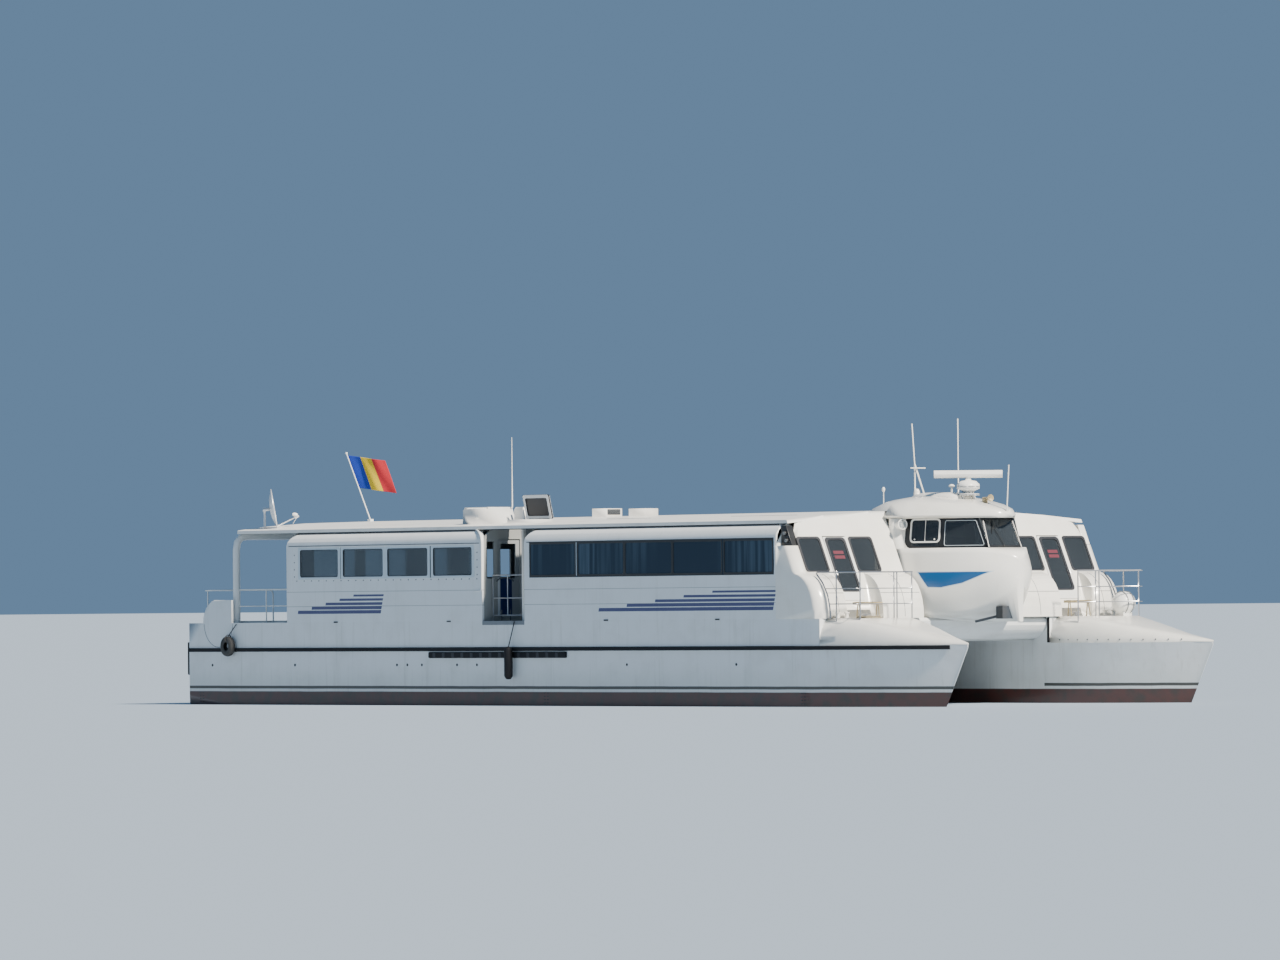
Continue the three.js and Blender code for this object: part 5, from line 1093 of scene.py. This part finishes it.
# Roof: breaks of its camber as distances from the centreline and heights, and grey strips painted as dark shadow
# lines along the roof, as x range and y
CAMBER = ((0, 2.0, 3.4, 4.55), (4.625, 4.579, 4.491, 4.385))
ROOF_SHADOW_LINES = ((5.3, 7.8, -3.0), (0.45, 2.2, -3.0), (5.3, 7.8, 3.0))


def shadow_line_block(start, end, y):
    """Ranges and corner radius of one grey strip painted as a shadow line, which lies on the camber."""
    crown = np.interp(abs(y), *CAMBER)
    return (start, end), (y - 0.012, y + 0.012), (crown - 0.01, crown + 0.006), 0.004


# Blocks on the roof by piece. columns: finish, bevel, then the x, y and z range and corner radius of each block
ROOF_BLOCKS = {
    # Grey strips: painted shadow lines on the roof
    "roof_shadow_lines": ("grey", 0.0, [shadow_line_block(*line_mark) for line_mark in ROOF_SHADOW_LINES]),
    "vent_slats": ("grey", 0.0,
        [((-0.835, -0.81), (-1.99, -1.60), (z, z + 0.008), 0.003) for z in (4.67, 4.70, 4.73)]),
    "locker_lid": ("white", 0.005, [((-4.04, -3.07), (-3.96, -3.21), (4.838, 4.855), 0.03),
                                    ((-3.60, -3.45), (-3.972, -3.945), (4.60, 4.66), 0.01)]),
    "roof_small_box": ("white", 0.008, [((-2.16, -1.79), (-3.30, -3.22), (4.49, 4.57), 0.015)]),
}
WHIP = ((-3.0, -3.26, 4.84), (-3.0, -3.26, 5.7), (-3.0, -3.26, 6.57))
WHIP_RADIUS = (0.016, 0.011, 0.006)


def make_roof_details():
    """Blocks of the table above, a black plate painted as the shade in the vent's mouth behind its slats, and a
    whip aerial.
    """
    for piece, (finish, bevel, blocks) in ROOF_BLOCKS.items():
        if piece == "vent_slats":
            vent = Plane((-0.83, -1.79, 4.70), (0, 1, 0), (0, 0, 1), (1, 0, 0))
            # Black plate: painted shade inside the vent's opening
            make("vent_mouth_shade_plate", [tile(vent, (-0.20, 0.20), (-0.06, 0.07), 0.02, -0.002, 0.006)], "black")
        make(piece, [block(*ranges) for ranges in blocks], finish, bevel=bevel)
    make("roof_whip", [tube(WHIP, WHIP_RADIUS, 8)], "plastic")


LID_HINGE = (-2.37, -3.30, 4.545206)
LID_OPEN = radians(78)
LID_PANE = ((0.075, 0.945), (0.075, 0.525))
LID_FACES = ((-0.004, 0.001), (0.044, 0.049))


def make_lid_frame():
    """White frame on the open hatch lid, on both of its faces; it rides on the lid."""
    swing = (0, -cos(LID_OPEN), sin(LID_OPEN))
    plane = Plane(LID_HINGE, (1, 0, 0), swing, (0, sin(LID_OPEN), cos(LID_OPEN)))
    rims = [ring(plane, *LID_PANE, (0.075, 0.075, 0.04), (0, 0, 0.05), *heights) for heights in LID_FACES]
    make("hatch_lid_rims", rims, "white", "hatch_lid")


DISH_CENTRE = np.array((-12.30, -3.90, 4.93))
DISH_FACING = unit((0.59, 0.79, 0.16))
DISH_UP = unit(np.array((0, 0, 1)) - DISH_FACING[2] * DISH_FACING)
DISH_RIM = {"ahead": 0.113, "radius": 0.488}
FEED_HEAD = ((0, -0.04), (0.03, -0.04), (0.045, 0.0), (0.045, 0.05), (0.028, 0.085), (0, 0.085))


def dish_place(along, rise, across=0.0):
    """Point of the dish: along its facing, up its face and sideways from its centre."""
    return DISH_CENTRE + along * DISH_FACING + rise * DISH_UP + across * np.cross(DISH_FACING, DISH_UP)


def make_stern_gear():
    """Feed heads of the dish looking back at it, their thin strut and the rolled rim."""
    heads = [turned(FEED_HEAD, dish_place(0.63, -0.25, across), -DISH_FACING + 0.35 * DISH_UP, 14)
             for across in (-0.055, 0.055)]
    make("dish_feed_heads", heads, "plastic")
    strut = tube([dish_place(0.66, -0.30), dish_place(0.52, -0.46)], 0.007, 6)
    radius = DISH_RIM["radius"]
    rim = [dish_place(DISH_RIM["ahead"], radius * sin(a), radius * cos(a)) for a in whole_turn(48)]
    make("dish_rim", [tube(rim, 0.010, 8, True), strut], "aluminium")


# Cleat: the horns as distances sideways and heights, and the size of its post
CLEAT_X = 10.62
CLEAT_Y = 3.25
CLEAT_HORNS = ((-0.13, 2.16), (-0.06, 2.15), (0.06, 2.15), (0.13, 2.16))


def make_foredeck_gear(name, side):
    """Cleat on each foredeck and the rubber treads of the step board."""
    y = side * CLEAT_Y
    horns = tube([(CLEAT_X, y + across, z) for across, z in CLEAT_HORNS], 0.018, 8)
    post = block((CLEAT_X - 0.02, CLEAT_X + 0.02), (y - 0.04, y + 0.04), (2.058, 2.15), 0.01)
    make(f"cleat_{name}", [horns, post], "steel")
    lay("step_treads", name, side)


CANISTER_X = 11.34
CANISTER_Z = 2.365
STRAP_Y = (4.045, 4.215)
STRAP_RADIUS = 0.279


def make_liferaft_bands():
    """Two dark straps round the canister."""
    around = [(CANISTER_X + STRAP_RADIUS * cos(a), CANISTER_Z + STRAP_RADIUS * sin(a)) for a in whole_turn(40)]
    bands = [tube([(x, y, z) for x, z in around], 0.010, 6, True) for y in STRAP_Y]
    make("liferaft_straps", bands, "grey")


# Tyre fender: half of its section as (radius, distance along the axle) outside and inside, and its line
TYRE_CENTRE = (-12.85, -4.8462, 1.47)
TYRE_SECTION = ((0.108, -0.055), (0.125, -0.072), (0.17, -0.080), (0.215, -0.072), (0.243, -0.055), (0.254, -0.02),
                (0.256, 0.0), (0.254, 0.02), (0.243, 0.055), (0.215, 0.072), (0.17, 0.080), (0.125, 0.072),
                (0.108, 0.055), (0.118, 0.045), (0.15, 0.05), (0.205, 0.045), (0.225, 0.0), (0.205, -0.045),
                (0.15, -0.05), (0.118, -0.045))
TYRE_LINE = ((-12.85, -4.846, 1.66), (-12.79, -4.84, 1.76), (-12.60, -4.75, 2.03))
LOOP_RADIUS = 0.10


def make_tyre():
    """Tyre fender on its line: a round-shouldered section turned once, with fine bumps from the finish."""
    points = turned(TYRE_SECTION, TYRE_CENTRE, (0, 1, 0), 48)[0].reshape(len(TYRE_SECTION), 48, 3)
    loop = [(-12.83, -4.846 + LOOP_RADIUS * cos(a), 1.655 + LOOP_RADIUS * sin(a)) for a in whole_turn(24)]
    make("tyre_fender_skin", [from_grid(points, True, True), tube(TYRE_LINE, 0.012, 8), tube(loop, 0.011, 8, True)],
         "tyre", replaced=("tyre_fender",))


# Flag: flat size, staff, and the heading of its fly. Waves. columns: size, turns along and down
FLAG_SIZE = (1.30, 0.98)
STAFF_FOOT = np.array((-13.30, 0, 4.6553))
STAFF_HEAD = np.array((-14.32, 0, 6.39))
FLY_HEADING = 0.17
FLY = np.array((cos(FLY_HEADING), sin(FLY_HEADING), 0))
FLAG_WAVES = ((0.034, 5.2, 1.4), (0.012, 11.0, -3.0))
FLAG_DROOP = -0.12


def make_flag():
    """Cloth that hangs from the staff: two travelling waves that grow along the fly, and a droop."""
    up = unit(STAFF_HEAD - STAFF_FOOT)
    start = STAFF_HEAD - 0.06 * up + 0.0215 * FLY
    along = np.linspace(0, FLAG_SIZE[0], 66)[None, :, None]
    down = np.linspace(0, FLAG_SIZE[1], 50)[:, None, None]
    across = np.array((-sin(FLY_HEADING), cos(FLY_HEADING), 0))
    wave = np.clip(along / 0.5, 0, 1) * sum(
        size * np.sin(run * along + fall * down) for size, run, fall in FLAG_WAVES)
    points = start - up * down + FLY * along + across * wave + np.array((0, 0, FLAG_DROOP)) * along
    uv = np.stack(np.broadcast_arrays(along / FLAG_SIZE[0], 1 - down / FLAG_SIZE[1]), -1).reshape(-1, 2)
    cloth = unwrapped("flag_cloth", *from_grid(points), uv)
    thickness = cloth.modifiers.new("cloth", "SOLIDIFY")
    thickness.thickness, thickness.offset = 0.0015, 0.0
    settle(cloth, "flag", "ferry", ("flag",))


# Mooring rope: two layers of turns a diameter apart. columns: turn part in degrees, radius and layer at its end
ROPE = {"x": 11.2, "y": -3.6, "diameter": 0.03, "floor": 2.0603}
ROPE_RUN = ((0, 0.22, 0), (270, 0.22, 0), (90, 0.25, 0), (270, 0.25, 0), (90, 0.28, 0), (180, 0.28, 0),
            (90, 0.28, 1), (90, 0.25, 1), (270, 0.25, 1), (90, 0.22, 1), (270, 0.22, 1))


def make_mooring_rope():
    """Free rope coiled on the deck: its radius and height change smoothly over part of a turn."""
    run = np.array(ROPE_RUN, float)
    turned_to = np.cumsum(run[:, 0])
    angle = np.arange(0, turned_to[-1] + 1, 6.0)
    leg = np.clip(np.searchsorted(turned_to, angle, "right") - 1, 0, len(run) - 2)
    share = (angle - turned_to[leg]) / run[leg + 1, 0]
    ease = (share * share * (3 - 2 * share))[:, None]
    radius, layer = (run[leg, 1:] + (run[leg + 1, 1:] - run[leg, 1:]) * ease).T
    turn = np.radians(angle)
    half = ROPE["diameter"] / 2
    path = np.stack([ROPE["x"] + radius * np.cos(turn), ROPE["y"] + radius * np.sin(turn),
                     ROPE["floor"] + half + layer * ROPE["diameter"]], 1)
    run_length = np.concatenate([[0], np.cumsum(np.linalg.norm(np.diff(path, axis=0), axis=1))])
    around = np.abs(np.linspace(-1, 1, 12, endpoint=False))
    uv = np.stack(np.broadcast_arrays(run_length[:, None], around[None] * pi * half), -1).reshape(-1, 2)
    rope = unwrapped("mooring_rope_coil", *tube(path, half - 0.0004, 12), uv)
    settle(rope, "rope", "ferry", ("mooring_rope",))
    ends = [tube(path[:3], half + 0.0008, 12), tube(path[-3:], half + 0.0008, 12)]
    whipping = make("mooring_rope_whipping", ends, "white")


# Seats. columns: first and last row of each saloon
SEAT_ROWS = {"aft": (-9.90, -3.0), "forward": (0.0, 8.4)}
SEAT_PITCH = 0.90
SEATS_ACROSS = 7
AISLE_Y = 0.80
SEAT_WIDTH = 3.40 / SEATS_ACROSS
# Cushions of one seat. columns: distance aft of the row's place, height, half depth, half height, lean
CUSHIONS = ((0.27, 2.50, 0.23, 0.062, 0), (0.035, 2.85, 0.062, 0.28, -0.13))
FRAME_RADIUS = 0.02
FRAME_Z = 2.42
RAILS_Y = (-3.9, -1.1, 1.1, 3.9)
LEGS_Y = (-3.9, -2.5, -1.1, 1.1, 2.5, 3.9)


def pillows(centres, half, lean):
    """Crowned cushions at many places: a superellipsoid, the sides drawn in a little, leaned back and repeated."""
    around = whole_turn(14)[None]
    lift = np.radians(np.linspace(-89.5, 89.5, 9))[:, None]

    def soft(value, power):
        return np.sign(value) * np.abs(value) ** power

    ball = np.stack([half[0] * soft(np.cos(lift), 0.45) * soft(np.cos(around), 0.5),
                     half[1] * soft(np.cos(lift), 0.45) * soft(np.sin(around), 0.5),
                     half[2] * soft(np.sin(lift), 0.7) * np.ones_like(around)], -1)
    ball[..., 0] += lean * ball[..., 2]
    return repeated(ball, centres)


def make_seats(name, start, end):
    """Cushions in rows on both sides of the aisle, on a frame of rails and legs."""
    rows = np.arange(start, end - SEAT_PITCH, SEAT_PITCH)
    across = np.concatenate([side * (AISLE_Y + SEAT_WIDTH * (np.arange(SEATS_ACROSS) + 0.5)) for _, side in SIDES])
    x, y = [g.ravel() for g in np.meshgrid(rows, across, indexing="ij")]
    parts = [pillows(np.stack([x + aft, y, np.full_like(x, z)], 1), (depth, SEAT_WIDTH / 2 - 0.008, height), lean)
             for aft, z, depth, height, lean in CUSHIONS]
    cushions = make(f"seats_{name}_cushions", parts, "seat", angle=180, replaced=(f"seats_{name}",))
    rails = [tube([(start, y, FRAME_Z), ((start + end) / 2, y, FRAME_Z), (end, y, FRAME_Z)], FRAME_RADIUS, 6)
             for y in RAILS_Y]
    legs = [tube([(row + 0.25, y, z) for z in (2.061, 2.25, FRAME_Z)], FRAME_RADIUS, 6)
            for row in rows for y in LEGS_Y]
    make(f"seats_{name}_frame", rails + legs, "steel")


SIDE_MAKERS = (make_side_windows, make_side_fixings, make_cornice_trim, make_hull_details, make_front_windows,
               make_front_door_glass, make_lamp_niche, make_cowl_seams, make_lobby, make_wheelhouse_windows,
               make_foredeck_gear)
for side_name, side_sign in SIDES:
    for make_on_side in SIDE_MAKERS:
        make_on_side(side_name, side_sign)
for make_once in (make_windscreen, make_roof_gear, make_roof_details, make_lid_frame, make_stern_gear,
                  make_liferaft_bands, make_tyre, make_flag, make_mooring_rope):
    make_once()
for saloon, (first, last) in SEAT_ROWS.items():
    make_seats(saloon, first, last)


# Floor and light. The lamps' columns: name, direction towards it, energy, angle in degrees, colour
FLOOR_REACH = 9000.0
FLOOR_COLOUR = (0.33, 0.40, 0.48, 1)
SKY_COLOUR = (0.33, 0.57, 0.92, 1)
SKY_STRENGTH = 0.40
LAMP_ROWS = (
    ("key", (0.73, 0.05, 0.66), 9.5, 4.0, (1.0, 0.93, 0.82)),
    ("fill", (0.25, -0.9, 0.4), 0.12, 40.0, (0.60, 0.80, 1.0)),
)


def make_floor():
    """A very large pale floor at the waterline: x and y from minus to plus the reach, and z = 0."""
    corners = FLOOR_REACH * np.array([[-1, -1, 0], [1, -1, 0], [1, 1, 0], [-1, 1, 0]])
    floor = in_scene("floor", new_mesh("floor", corners, [[0, 1, 2, 3]]))
    material, _, shader = new_material("floor_paint", roughness=0.75)
    shader.inputs["Base Color"].default_value = FLOOR_COLOUR
    floor.data.materials.append(material)


def make_light():
    """A soft sun from ahead and high, a little to port, a weak wide fill from starboard and a pale blue sky."""
    world = bpy.data.worlds.new("studio")
    bpy.context.scene.world = world
    world.use_nodes = True
    sky = world.node_tree.nodes["Background"]
    sky.inputs["Color"].default_value = SKY_COLOUR
    sky.inputs["Strength"].default_value = SKY_STRENGTH
    for name, toward, energy, angle, colour in LAMP_ROWS:
        data = bpy.data.lights.new(name, "SUN")
        data.energy, data.angle, data.color = energy, radians(angle), colour
        in_scene(name, data).matrix_world = Vector(toward).to_track_quat("Z", "Y").to_matrix().to_4x4()


make_floor()
make_light()
